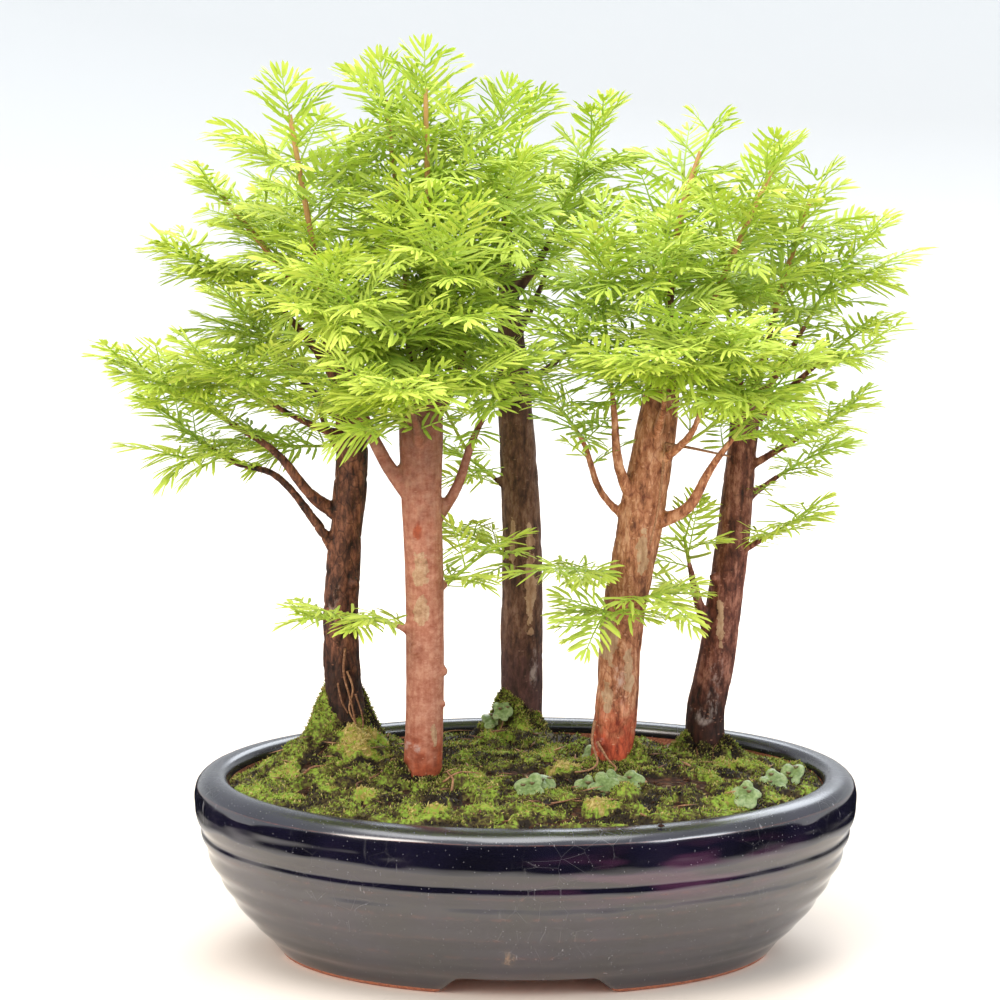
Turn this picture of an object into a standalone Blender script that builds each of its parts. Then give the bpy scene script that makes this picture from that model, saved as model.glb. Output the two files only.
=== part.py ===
# Dawn redwood bonsai forest: five trees in mossy soil in an oval glazed tray.
# The frame is +Z up, with the ground under the tray's feet at Z = 0 and the photographed
# front towards -Y. Sizes are in metres, written as millimetres times MM.

import math

import bmesh
import bpy
from mathutils import Matrix, Vector
from mathutils.bvhtree import BVHTree

MM = 0.001

# Tray
TRAY_CENTRE_X = 10 * MM
TRAY_HALF_WIDTH = 130 * MM
TRAY_HALF_DEPTH = 97.5 * MM
TRAY_HEIGHT = 71.5 * MM
RIM_WIDTH = 13.3 * MM
WALL = 8 * MM
FOOT_HEIGHT = 8 * MM
FOOT_WIDTH = 12 * MM
FOOT_HALF_WIDTH = 96.2 * MM
FLOOR_TOP = 14 * MM
# The bowl's half-width at its foot as a share of the whole, the share of its height at which it
# is full, and how soon it swells
BOWL_FOOT = 0.785
BOWL_FULL = 1 / 1.12
BOWL_SWELL = 0.8
# Throwing marks on the wall: height, how far each stands out, and its spread, in millimetres
RIDGES = ((50.5, -0.9, 1.4), (43, -0.45, 2.4), (38, 0.5, 2.2), (20, 0.4, 2.6))
# Heights in millimetres where the outer wall's profile has a point
OUTER_HEIGHTS = (62, 52.8, 50.5, 48.2, 43, 38, 33, 20, 14, 8)
# The rim from the inner wall over the ledge to its outer edge: radius and height in millimetres
RIM = ((116.7, 67.5), (118.3, 70.7), (120.7, 71.5), (125.5, 70.8), (129.0, 67.5))
FOOT_GAP_HALF_LENGTH = 26 * MM
FOOT_GAP_SPLAY = 8 * MM
END_GAP_HALF_LENGTH = 13 * MM
FOOT_GAP_TOP = 7.6 * MM
END_GAP_TOP = 7.3 * MM
# How far a cutter reaches past the face that it cuts through
CUT_BEYOND = 2 * MM
DRAIN_RADIUS = 8 * MM
DRAIN_OFFSET = 46 * MM
STEPS_ROUND = 32
# Heights where the inner wall's profile has a point, which the soil follows
WALL_HEIGHTS = (52 * MM, 34 * MM, 20 * MM)
FLOOR_ROUNDING = 8 * MM
OVAL_INSET = TRAY_HALF_WIDTH - TRAY_HALF_DEPTH
OVAL_CORE = 80 * MM

# Drain mesh
MESH_BAR = 1.6 * MM
MESH_HOLE = 5.4 * MM
MESH_HOLES_ACROSS = 3
MESH_THICKNESS = 1.2 * MM

# Soil and moss
CLEARANCE = 0.3 * MM
SOIL_CENTRE = 72 * MM
SOIL_EDGE = 65 * MM
SOIL_TILT = 4 * MM
SOIL_EDGE_HALF_WIDTH = TRAY_HALF_WIDTH - RIM_WIDTH - 0.6 * MM
SOIL_RINGS = (0.35, 0.65, 0.86, 1.0)
# Heights that mark the points of the top and the underside until they take their own levels
TOP_MARK = 100 * MM
UNDERSIDE_MARK = 86 * MM
MOSS_THICKNESS = 3.2 * MM
# Mounds in the soil: centre, radius and height in millimetres
MOUNDS = (
    (-62, 12, 24, 14),
    (4, 66, 15, 9),
    (-12, -60, 26, 2),
    (70, -34, 30, 2),
)
# Bare places in the moss: centre, half-length and half-depth in millimetres
BARE_PLACES = (
    (58, -22, 15, 9),
    (-2, 36, 12, 8),
    (10, -40, 9, 6),
    (-46, -34, 8, 6),
)

# Wood: trunk axes as (x, y, z, radius) in millimetres, from the buried end upwards
TRUNKS = {
    "left": (
        (-60, 18, 52, 7.8), (-60, 18, 84, 7.6), (-62, 18, 100, 7.3), (-63, 18, 128, 6.9),
        (-61, 18, 160, 6.4), (-58, 18, 196, 6.1), (-61, 18, 221, 5.5), (-66, 17, 241, 3.9),
        (-69, 16, 252, 2.6),
    ),
    "front": (
        (-30, -17, 44, 7.8), (-30, -17, 72, 7.5), (-29, -17, 103, 7.3), (-29, -17, 150, 7.4),
        (-30, -17, 185, 7.8), (-30, -17, 209, 8.4), (-30, -17, 226, 7.2),
    ),
    "back": (
        (9, 70, 46, 8.6), (9, 70, 74, 8.4), (9, 70, 109, 8.7), (9, 70, 150, 8.0),
        (7, 70, 192, 7.4), (5, 69, 225, 6.1), (3, 67, 258, 3.6), (2, 65, 284, 2.2),
    ),
    "middle": (
        (44, 5, 44, 8.8), (44, 5, 71, 8.5), (46, 5, 98, 8.3), (48, 5, 130, 8.2),
        (52, 5, 154, 8.7), (56, 5, 178, 8.6), (60, 5, 202, 7.8), (63, 5, 224, 7.0),
    ),
    "right": (
        (83, 36, 44, 8.3), (83, 36, 71, 8.1), (83, 36, 87, 7.7), (87, 36, 108, 7.4),
        (90, 36, 132, 7.1), (93, 36, 157, 6.6), (96, 37, 189, 6.0), (98, 38, 212, 5.6),
    ),
}

# Limbs: height where the limb leaves the trunk's axis, its radius there, the length of it
# that is wood, the points that it passes, and the tip of its last needle, in millimetres
LIMBS = {
    "left": (
        (168, 2.7, 62, ((-74, 12, 179), (-86, 8, 195), (-101, 6, 206)), (-158, -8, 243)),
        (150, 2.0, 84, ((-73, 13, 169), (-88, 16, 186), (-109, 20, 193)), (-146, 30, 221)),
        (222, 2.6, 40, ((-80, 15, 246), (-92, 15, 257)), (-141, 20, 281)),
        (240, 2.4, 36, ((-84, 6, 268),), (-121, 2, 314)),
        (200, 1.8, 44, ((-82, -6, 214),), (-122, -48, 248)),
        (205, 1.9, 48, ((-80, 40, 222),), (-120, 66, 262)),
        (232, 2.2, 46, ((-72, 40, 262),), (-92, 74, 304)),
        (188, 1.6, 40, ((-72, 48, 208),), (-70, 100, 236)),
    ),
    "front": (
        (178, 3.2, 88, ((-43, -20, 196), (-54, -22, 220), (-64, -22, 246)), (-82, -24, 350)),
        (214, 3.4, 44, ((-34, -16, 240), (-37, -12, 282)), (-46, -6, 355)),
        (218, 3.0, 36, ((-27, -24, 246), (-27, -25, 296)), (-28, -27, 360)),
        (210, 3.6, 34, ((-18, -12, 226), (-8, -14, 262)), (4, -18, 346)),
        (212, 2.6, 34, ((-40, -44, 236),), (-66, -92, 286)),
        (200, 2.4, 40, ((-32, -46, 218),), (-36, -116, 240)),
        (168, 2.7, 58, ((-17, -14, 185), (-9, -18, 208)), (10, -74, 250)),
        (216, 2.4, 30, ((-24, -44, 250),), (-10, -84, 306)),
        (128, 1.9, 12, ((-48, -22, 136),), (-88, -30, 141)),
        (142, 1.6, 11, ((-14, -14, 154),), (12, -22, 177)),
    ),
    "back": (
        (276, 2.0, 20, ((4, 60, 300),), (16, 46, 343)),
        (250, 2.4, 34, ((20, 62, 274),), (46, 56, 338)),
        (240, 2.2, 36, ((-10, 84, 264),), (-24, 106, 322)),
        (232, 2.2, 36, ((18, 90, 256),), (34, 110, 306)),
        (205, 2.0, 36, ((-14, 90, 222),), (-36, 110, 258)),
        (212, 2.0, 36, ((28, 90, 226),), (54, 108, 250)),
        (168, 1.7, 14, ((-8, 64, 182),), (-33, 50, 202)),
        (138, 1.6, 12, ((-2, 56, 150),), (-24, 36, 166)),
    ),
    "middle": (
        (220, 3.2, 46, ((65, 6, 246), (69, 4, 288)), (84, 4, 334)),
        (216, 2.6, 40, ((74, 4, 236), (90, 0, 276)), (112, -6, 326)),
        (172, 2.8, 56, ((46, -4, 192), (43, -12, 220)), (34, -50, 296)),
        (166, 1.7, 50, ((39, 2, 182), (31, -4, 204)), (12, -36, 232)),
        (168, 3.0, 58, ((72, -4, 176), (84, -12, 198)), (118, -50, 250)),
        (190, 2.2, 44, ((72, -16, 206), (78, -34, 226)), (88, -88, 262)),
        (200, 2.4, 36, ((62, -26, 222),), (56, -98, 252)),
        (218, 2.2, 32, ((60, -22, 252),), (62, -66, 304)),
        (144, 1.6, 12, ((32, -4, 152),), (-2, -20, 157)),
        (130, 1.6, 12, ((40, -20, 138),), (30, -50, 131)),
        (134, 1.6, 12, ((60, -16, 144),), (78, -45, 139)),
    ),
    "right": (
        (206, 2.6, 44, ((104, 38, 228), (112, 34, 262)), (128, 28, 314)),
        (204, 2.2, 46, ((112, 34, 228), (128, 26, 258)), (152, 16, 294)),
        (200, 2.0, 42, ((120, 38, 222),), (158, 36, 254)),
        (184, 1.8, 36, ((112, 26, 196),), (147, 4, 222)),
        (170, 1.7, 32, ((112, 42, 182),), (146, 50, 201)),
        (150, 1.6, 28, ((106, 26, 160),), (128, 0, 180)),
        (202, 2.2, 44, ((108, 62, 228),), (132, 92, 268)),
        (206, 2.4, 46, ((92, 60, 244),), (88, 100, 300)),
        (112, 3.2, 40, ((80, 32, 130), (75, 28, 150)), (68, -2, 184)),
    ),
}
# A curve's bevel resolution: 0 gives 4 sides, and each step adds 2
TRUNK_ROUNDNESS = 2
BRANCH_ROUNDNESS = 1
TWIG_ROUNDNESS = 0
STEM_ROUNDNESS = 0
BRANCH_MIN_RADIUS = 2.3
TWIG_POINT_SPACING = 18 * MM
STEM_POINT_SPACING = 26 * MM
TWIG_TIP_RADIUS = 1.0 * MM
# Points of a limb's path, 1 mm apart, that are always left to its green stem
SHORTEST_STEM = 10
STEM_RADIUS = 0.85 * MM
STEM_TIP_RADIUS = 0.6 * MM

# Needle sprays: flat blades cut to the rib, with fewer and broader needles than the real ones
NEEDLE_LENGTH = 12 * MM
END_PAIRS = 4
SIDE_PAIRS = 3
NEEDLE_PITCH = 5.1 * MM
NEEDLE_ANGLE = math.radians(62)
BARE_STALK = 3 * MM
RIB_HALF_WIDTH = 0.5 * MM
SPRAY_THICKNESS = 0.7 * MM
SPRAY_LENGTH = BARE_STALK + END_PAIRS * NEEDLE_PITCH + 0.7 * NEEDLE_LENGTH
SPRAY_DROOP = 6 * MM
SIDE_SPRAY_ANGLE = math.radians(58)
SIDE_SPRAY_SPACING = 34 * MM
TOP_SPACE = 9 * MM
MOST_SPRAYS = 9
# Share of the end spray's length that is left beyond the green stem
END_SPRAY_SHARE = 0.97
# Turns tried in order until a spray is clear of its neighbours: lift, swing and size
SPRAY_TURNS = tuple(
    (math.radians(lift), math.radians(swing), size)
    for size in (1.0, 0.86, 0.72)
    for lift in (0, 14, -14, 28, -28)
    for swing in (0, 16, -16, 30)
)

PARTS = "dawn_redwood_bonsai_forest"
CUTTERS = "cutters"


# Scene, materials and small mesh tools
def clear_scene():
    for thing in list(bpy.data.objects):
        bpy.data.objects.remove(thing, do_unlink=True)


def collection(name):
    group = bpy.data.collections.get(name)
    if group is None:
        group = bpy.data.collections.new(name)
        bpy.context.scene.collection.children.link(group)
    return group


def material(name, colour, roughness):
    finish = bpy.data.materials.get(name)
    if finish is None:
        finish = bpy.data.materials.new(name)
        finish.use_nodes = True
        shader = finish.node_tree.nodes["Principled BSDF"]
        shader.inputs["Base Color"].default_value = (*colour, 1.0)
        shader.inputs["Roughness"].default_value = roughness
        shader.inputs["Metallic"].default_value = 0.0
    return finish


def add_object(name, data, group=PARTS, finish=None):
    thing = bpy.data.objects.new(name, data)
    collection(group).objects.link(thing)
    if finish is not None:
        data.materials.clear()
        data.materials.append(finish)
    return thing


def freeze(thing, weld=0.0):
    """Swap an object's data for its evaluated mesh, with curve caps or seams welded."""
    bpy.context.view_layer.update()
    graph = bpy.context.evaluated_depsgraph_get()
    mesh = bpy.data.meshes.new_from_object(thing.evaluated_get(graph))
    if weld > 0.0:
        work = bmesh.new()
        work.from_mesh(mesh)
        bmesh.ops.remove_doubles(work, verts=work.verts, dist=weld)
        work.to_mesh(mesh)
        work.free()
    name = thing.name
    group = thing.users_collection[0].name
    placed = thing.matrix_world.copy()
    bpy.data.objects.remove(thing, do_unlink=True)
    frozen = add_object(name, mesh, group)
    frozen.matrix_world = placed
    return frozen


def keep_main_body(thing):
    """Drop loose scraps and sealed hollows, which a union can leave beside the main body."""
    work = bmesh.new()
    work.from_mesh(thing.data)
    waiting = set(work.verts)
    bodies = []
    while waiting:
        body = set()
        edge_of_body = [next(iter(waiting))]
        while edge_of_body:
            vert = edge_of_body.pop()
            if vert in body:
                continue
            body.add(vert)
            edge_of_body.extend(edge.other_vert(vert) for edge in vert.link_edges)
        waiting -= body
        bodies.append(body)
    bodies.sort(key=len)
    for body in bodies[:-1]:
        bmesh.ops.delete(work, geom=list(body), context="VERTS")
    work.to_mesh(thing.data)
    work.free()


def combine(target, others, operation="UNION"):
    """One Boolean on a collection of solids, applied, with the solids then removed."""
    group = collection("to_" + operation.lower())
    for other in others:
        for old in list(other.users_collection):
            old.objects.unlink(other)
        group.objects.link(other)
    finish = target.data.materials[0] if target.data.materials else None
    cut = target.modifiers.new("Combine", "BOOLEAN")
    cut.operand_type = "COLLECTION"
    cut.operation = operation
    cut.collection = group
    joined = freeze(target)
    for other in list(group.objects):
        bpy.data.objects.remove(other, do_unlink=True)
    bpy.data.collections.remove(group)
    keep_main_body(joined)
    if finish is not None:
        joined.data.materials.clear()
        joined.data.materials.append(finish)
    return joined


def turned(name, profile, group=PARTS, finish=None):
    """Turn a profile of (radius, height) about Z, then narrow it to the tray's oval."""
    mesh = bpy.data.meshes.new(name)
    points = [(radius, 0.0, height) for radius, height in profile]
    edges = [(i, i + 1) for i in range(len(points) - 1)]
    mesh.from_pydata(points, edges, [])
    thing = add_object(name, mesh, group)
    screw = thing.modifiers.new("Turn", "SCREW")
    screw.steps = STEPS_ROUND
    screw.render_steps = STEPS_ROUND
    screw.use_merge_vertices = True
    screw.merge_threshold = 0.01 * MM
    thing = freeze(thing, weld=0.01 * MM)
    for vert in thing.data.vertices:
        radius = math.hypot(vert.co.x, vert.co.y)
        vert.co.y *= 1 - OVAL_INSET / max(radius, OVAL_CORE)
        vert.co.x += TRAY_CENTRE_X
    if finish is not None:
        thing.data.materials.clear()
        thing.data.materials.append(finish)
    return thing


def block(name, low, high, group=CUTTERS):
    """A box between two corners, from the cube primitive."""
    work = bmesh.new()
    bmesh.ops.create_cube(work, size=1.0)
    middle = (Vector(low) + Vector(high)) / 2
    size = Vector(high) - Vector(low)
    for vert in work.verts:
        vert.co = middle + Vector(a * b for a, b in zip(vert.co, size))
    mesh = bpy.data.meshes.new(name)
    work.to_mesh(mesh)
    work.free()
    return add_object(name, mesh, group)


def cylinder(name, centre, radius, low, high, sides, stretch=1.0):
    """An upright cylinder cutter, stretched along X where its plan isn't round."""
    work = bmesh.new()
    bmesh.ops.create_cone(
        work, cap_ends=True, segments=sides, radius1=radius, radius2=radius, depth=high - low
    )
    for vert in work.verts:
        vert.co.x = vert.co.x * stretch + centre[0]
        vert.co.y += centre[1]
        vert.co.z += (low + high) / 2
    mesh = bpy.data.meshes.new(name)
    work.to_mesh(mesh)
    work.free()
    return add_object(name, mesh, CUTTERS)


def tube(name, points, radii, resolution, group=PARTS, finish=None):
    """A capped tube through points, made as a curve and welded into a mesh."""
    curve = bpy.data.curves.new(name, "CURVE")
    curve.dimensions = "3D"
    curve.bevel_depth = 1.0
    curve.bevel_resolution = resolution
    curve.use_fill_caps = True
    spline = curve.splines.new("POLY")
    spline.points.add(len(points) - 1)
    for knot, point, radius in zip(spline.points, points, radii):
        knot.co = (*point, 1.0)
        knot.radius = radius
    thing = freeze(add_object(name, curve, group), weld=0.005 * MM)
    if finish is not None:
        thing.data.materials.clear()
        thing.data.materials.append(finish)
    return thing


# Tray
def half_width_outside(height):
    """The tray's outer half-width at a height: a bowl with soft throwing marks."""
    rise = (height - FOOT_HEIGHT) / (TRAY_HEIGHT - FOOT_HEIGHT)
    swell = math.sin(math.pi / 2 * min(1.0, rise / BOWL_FULL)) ** BOWL_SWELL
    radius = TRAY_HALF_WIDTH * (BOWL_FOOT + (1 - BOWL_FOOT) * swell)
    for level, size, spread in RIDGES:
        radius += size * MM * math.exp(-((height / MM - level) / spread) ** 2)
    return radius


def half_width_inside(height):
    """The tray's inner half-width: the outer one less the wall, under the broad rim."""
    return min(half_width_outside(height) - WALL, TRAY_HALF_WIDTH - RIM_WIDTH + 0.8 * MM)


def make_tray():
    glaze = material("navy_glazed_stoneware", (0.009, 0.009, 0.03), 0.12)
    profile = [(0.0, FLOOR_TOP), (half_width_inside(FLOOR_TOP) - FLOOR_ROUNDING, FLOOR_TOP)]
    for height in reversed(WALL_HEIGHTS):
        profile.append((half_width_inside(height), height))
    profile += [(radius * MM, height * MM) for radius, height in RIM]
    profile += [(half_width_outside(height * MM), height * MM) for height in OUTER_HEIGHTS]
    profile += [
        (FOOT_HALF_WIDTH, 0.0),
        (FOOT_HALF_WIDTH - FOOT_WIDTH, 0.0),
        (FOOT_HALF_WIDTH - FOOT_WIDTH, FOOT_HEIGHT),
        (0.0, FOOT_HEIGHT),
    ]
    tray = turned("tray", profile, finish=glaze)

    below = -CUT_BEYOND
    cutters = []
    across = block(
        "foot_gap_across",
        (TRAY_CENTRE_X - FOOT_GAP_HALF_LENGTH, -TRAY_HALF_DEPTH, below),
        (TRAY_CENTRE_X + FOOT_GAP_HALF_LENGTH, TRAY_HALF_DEPTH, FOOT_GAP_TOP),
    )
    for vert in across.data.vertices:
        if vert.co.z < 0:
            vert.co.x += math.copysign(FOOT_GAP_SPLAY, vert.co.x - TRAY_CENTRE_X)
    cutters.append(across)
    along = block(
        "foot_gap_along",
        (TRAY_CENTRE_X - TRAY_HALF_WIDTH, -END_GAP_HALF_LENGTH, below),
        (TRAY_CENTRE_X + TRAY_HALF_WIDTH, END_GAP_HALF_LENGTH, END_GAP_TOP),
    )
    cutters.append(along)
    for side in (-1, 1):
        centre = (TRAY_CENTRE_X + side * DRAIN_OFFSET, 0.0)
        cutters.append(cylinder(
            "drain_hole", centre, DRAIN_RADIUS, below, FLOOR_TOP + CUT_BEYOND, 16
        ))
    return combine(tray, cutters, "DIFFERENCE")


# Drain mesh
def mesh_half_width():
    return (MESH_HOLES_ACROSS * MESH_HOLE + (MESH_HOLES_ACROSS + 1) * MESH_BAR) / 2


def make_drain_mesh(name, side):
    plastic = material("black_mesh_plastic", (0.012, 0.012, 0.012), 0.55)
    centre = Vector((TRAY_CENTRE_X + side * DRAIN_OFFSET, 0.0, 0.0))
    half = mesh_half_width()
    low = FLOOR_TOP + CLEARANCE
    high = low + MESH_THICKNESS
    square = block(
        name, centre + Vector((-half, -half, low)), centre + Vector((half, half, high)), PARTS
    )
    square.data.materials.append(plastic)
    holes = []
    pitch = MESH_HOLE + MESH_BAR
    for row in range(MESH_HOLES_ACROSS):
        for column in range(MESH_HOLES_ACROSS):
            corner = centre + Vector((column, row, 0)) * pitch - Vector((half, half, 0))
            corner += Vector((MESH_BAR, MESH_BAR, 0))
            holes.append(block(
                "aperture",
                corner + Vector((0, 0, low - CUT_BEYOND)),
                corner + Vector((MESH_HOLE, MESH_HOLE, high + CUT_BEYOND)),
            ))
    return combine(square, holes, "DIFFERENCE")


# Soil and moss
def soil_level(x, y):
    """Height of the soil: crowned in the middle, higher in front, with mounds at two trees."""
    half_depth = SOIL_EDGE_HALF_WIDTH - OVAL_INSET
    out = math.hypot((x - TRAY_CENTRE_X) / SOIL_EDGE_HALF_WIDTH, y / half_depth)
    edge = SOIL_EDGE - SOIL_TILT * y / half_depth
    level = SOIL_CENTRE - (SOIL_CENTRE - edge) * min(out, 1.0) ** 3
    fade = 1 - min(out, 1.0) ** 6
    for mound_x, mound_y, radius, height in MOUNDS:
        away = math.hypot(x - mound_x * MM, y - mound_y * MM) / (radius * MM)
        level += height * MM * math.exp(-away * away) * fade
    return level


def moss_thickness(x, y):
    """Cushions about 20 mm across, never thinner than a third of the full carpet."""
    wave = math.sin(x / (7.3 * MM) + 1.1) * math.sin(y / (6.1 * MM) + 0.4)
    wave += 0.6 * math.sin((x + 1.7 * y) / (11 * MM))
    return MOSS_THICKNESS * (0.75 + 0.28 * wave)


def split_quads(thing):
    """Split bent quads across their shorter diagonal, so soil and moss bend alike."""
    work = bmesh.new()
    work.from_mesh(thing.data)
    bmesh.ops.triangulate(work, faces=work.faces, quad_method="SHORT_EDGE")
    work.to_mesh(thing.data)
    work.free()


def hole_cutters(clearance):
    """Cutters along the buried ends of the trunks, wider by a clearance."""
    cutters = []
    for tree, trunk in TRUNKS.items():
        points = [Vector(knot[:3]) * MM for knot in trunk[:4]]
        radii = [knot[3] * MM + clearance for knot in trunk[:4]]
        points[0].z -= clearance
        cutters.append(tube("hole_" + tree, points, radii, TRUNK_ROUNDNESS, CUTTERS))
    return cutters


def make_soil():
    earth = material("dark_potting_soil", (0.042, 0.022, 0.014), 0.95)
    profile = [(0.0, TOP_MARK)]
    profile += [(SOIL_EDGE_HALF_WIDTH * ring, TOP_MARK) for ring in SOIL_RINGS]
    side_clearance = CLEARANCE * 1.6
    for height in WALL_HEIGHTS:
        profile.append((half_width_inside(height) - side_clearance, height))
    floor = FLOOR_TOP + CLEARANCE
    floor_edge = half_width_inside(FLOOR_TOP) - FLOOR_ROUNDING - 2 * side_clearance
    profile += [(floor_edge, floor), (0.0, floor)]
    soil = turned("soil", profile, finish=earth)
    for vert in soil.data.vertices:
        if vert.co.z > TRAY_HEIGHT:
            vert.co.z = soil_level(vert.co.x, vert.co.y)
    split_quads(soil)
    half = mesh_half_width() + CLEARANCE
    pockets = []
    for side in (-1, 1):
        x = TRAY_CENTRE_X + side * DRAIN_OFFSET
        high = FLOOR_TOP + 2 * CLEARANCE + MESH_THICKNESS
        low = FLOOR_TOP - CUT_BEYOND
        pockets.append(block("pocket", (x - half, -half, low), (x + half, half, high)))
    return combine(soil, pockets + hole_cutters(CLEARANCE), "DIFFERENCE")


def make_moss():
    green = material("cushion_moss", (0.10, 0.17, 0.03), 0.9)
    radii = [0.0] + [SOIL_EDGE_HALF_WIDTH * ring for ring in SOIL_RINGS]
    profile = [(radius, TOP_MARK) for radius in radii]
    profile += [(radius, UNDERSIDE_MARK) for radius in reversed(radii)]
    moss = turned("moss", profile, finish=green)
    for vert in moss.data.vertices:
        x, y = vert.co.x, vert.co.y
        is_top = vert.co.z > (TOP_MARK + UNDERSIDE_MARK) / 2
        vert.co.z = soil_level(x, y) + CLEARANCE
        if is_top:
            vert.co.z += moss_thickness(x, y)
    split_quads(moss)
    cutters = hole_cutters(CLEARANCE)
    for x, y, half_length, half_depth in BARE_PLACES:
        cutters.append(cylinder(
            "bare_place", (x * MM, y * MM), half_depth * MM, 0.5 * TRAY_HEIGHT, 1.5 * TRAY_HEIGHT,
            9, half_length / half_depth,
        ))
    return combine(moss, cutters, "DIFFERENCE")


# Wood
def smooth(points, count):
    """Points spaced evenly along a rounded curve through the given points."""
    fine = []
    padded = [points[0] * 2 - points[1]] + list(points) + [points[-1] * 2 - points[-2]]
    for a, b, c, d in zip(padded, padded[1:], padded[2:], padded[3:]):
        for step in range(16):
            t = step / 16
            fine.append(0.5 * (
                2 * b + (c - a) * t + (2 * a - 5 * b + 4 * c - d) * t * t
                + (3 * b - a - 3 * c + d) * t * t * t
            ))
    fine.append(points[-1])
    return spaced(fine, count)


def spaced(points, count):
    """Points spaced evenly along a run of short straight pieces."""
    lengths = [0.0]
    for a, b in zip(points, points[1:]):
        lengths.append(lengths[-1] + (b - a).length)
    result = []
    place = 0
    for index in range(count):
        wanted = lengths[-1] * index / (count - 1)
        while place < len(lengths) - 2 and lengths[place + 1] < wanted:
            place += 1
        share = (wanted - lengths[place]) / (lengths[place + 1] - lengths[place])
        result.append(points[place].lerp(points[place + 1], share))
    return result


def trunk_point(tree, height):
    """The point of a trunk's axis at a height."""
    knots = TRUNKS[tree]
    for low, high in zip(knots, knots[1:]):
        if height <= high[2]:
            break
    share = (height - low[2]) / (high[2] - low[2])
    return Vector(low[:3]).lerp(Vector(high[:3]), share) * MM


def limb_path(tree, limb):
    """One fine curve from the trunk's axis to the last needle's tip, a point each mm."""
    height, _, _, way, tip = limb
    points = [trunk_point(tree, height)] + [Vector(p) * MM for p in way] + [Vector(tip) * MM]
    length = sum((b - a).length for a, b in zip(points, points[1:]))
    return smooth(points, max(8, round(length / MM)))


def limb_parts(tree, limb):
    """Split a limb's path into its wood, its green stem and the line of its end spray."""
    path = limb_path(tree, limb)
    stem_end = len(path) - round(SPRAY_LENGTH * END_SPRAY_SHARE / MM)
    wood_end = min(limb[2], stem_end - SHORTEST_STEM)
    stem_start = wood_end + 1
    gap = (path[wood_end + 1] - path[wood_end]).normalized() * CLEARANCE
    wood = path[:wood_end + 1]
    stem = [wood[-1] + gap] + path[stem_start + 1:stem_end]
    return wood, stem, path[-1]


def make_tree(tree):
    bark = material("bark_" + tree, BARK_COLOURS[tree], 0.8)
    knots = TRUNKS[tree]
    trunk = tube(
        "tree_" + tree, [Vector(k[:3]) * MM for k in knots], [k[3] * MM for k in knots],
        TRUNK_ROUNDNESS, finish=bark,
    )
    limbs = []
    for limb in LIMBS[tree]:
        wood = limb_parts(tree, limb)[0]
        length = (len(wood) - 1) * MM
        count = max(3, round(length / TWIG_POINT_SPACING) + 1)
        points = spaced(wood, count)
        start = limb[1] * MM
        radii = [start + (TWIG_TIP_RADIUS - start) * i / (count - 1) for i in range(count)]
        roundness = BRANCH_ROUNDNESS if limb[1] >= BRANCH_MIN_RADIUS else TWIG_ROUNDNESS
        limbs.append(tube("limb", points, radii, roundness))
    return combine(trunk, limbs)


BARK_COLOURS = {
    "left": (0.075, 0.030, 0.018),
    "front": (0.190, 0.060, 0.034),
    "back": (0.095, 0.045, 0.028),
    "middle": (0.200, 0.062, 0.026),
    "right": (0.085, 0.026, 0.018),
}


# Needle sprays
def spray_sheet(work, pairs, size, thickness):
    """A flat drooping spray along +X: needles in pairs, cut to the rib, and one at the end."""
    pitch = NEEDLE_PITCH * size
    needle = NEEDLE_LENGTH * size

    def point(x, y):
        return Vector((x, y, -SPRAY_DROOP * (x / SPRAY_LENGTH) ** 2 - 0.1 * abs(y)))

    root = work.verts.new(point(0.0, 0.0))
    rib = [BARE_STALK * size + pitch * i for i in range(pairs + 1)]
    left = [work.verts.new(point(x, RIB_HALF_WIDTH)) for x in rib]
    right = [work.verts.new(point(x, -RIB_HALF_WIDTH)) for x in rib]
    work.faces.new((root, right[0], left[0]))
    for i in range(pairs):
        work.faces.new((left[i], right[i], right[i + 1]))
        work.faces.new((left[i], right[i + 1], left[i + 1]))
        along = (i + 0.5) / pairs
        reach = needle * (1 - 0.32 * (2 * along - 1) ** 2)
        x = rib[i] + pitch / 2 + reach * math.cos(NEEDLE_ANGLE)
        y = RIB_HALF_WIDTH + reach * math.sin(NEEDLE_ANGLE)
        work.faces.new((left[i], left[i + 1], work.verts.new(point(x, y))))
        work.faces.new((right[i + 1], right[i], work.verts.new(point(x, -y))))
    end = work.verts.new(point(rib[-1] + 0.7 * needle, 0.0))
    work.faces.new((left[-1], right[-1], end))
    bmesh.ops.recalc_face_normals(work, faces=work.faces)
    bmesh.ops.solidify(work, geom=list(work.faces), thickness=thickness)


def spray_matrix(base, direction, lift, swing):
    """Place a spray at its base, along a direction, its face turned up as far as it can be."""
    forward = direction.normalized()
    side = Vector((0, 0, 1)).cross(forward)
    if side.length < 0.2:
        side = Vector((0, 1, 0)).cross(forward)
    side.normalize()
    up = forward.cross(side)
    turn = Matrix((forward, side, up)).transposed()
    turn = turn @ Matrix.Rotation(swing, 3, "Z") @ Matrix.Rotation(-lift, 3, "Y")
    return Matrix.Translation(base) @ turn.to_4x4()


def spray_solid(matrix, pairs, size, thickness):
    work = bmesh.new()
    spray_sheet(work, pairs, size, thickness)
    bmesh.ops.translate(work, verts=work.verts, vec=(0, 0, -thickness / 2))
    bmesh.ops.recalc_face_normals(work, faces=work.faces)
    work.transform(matrix)
    return work


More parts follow.
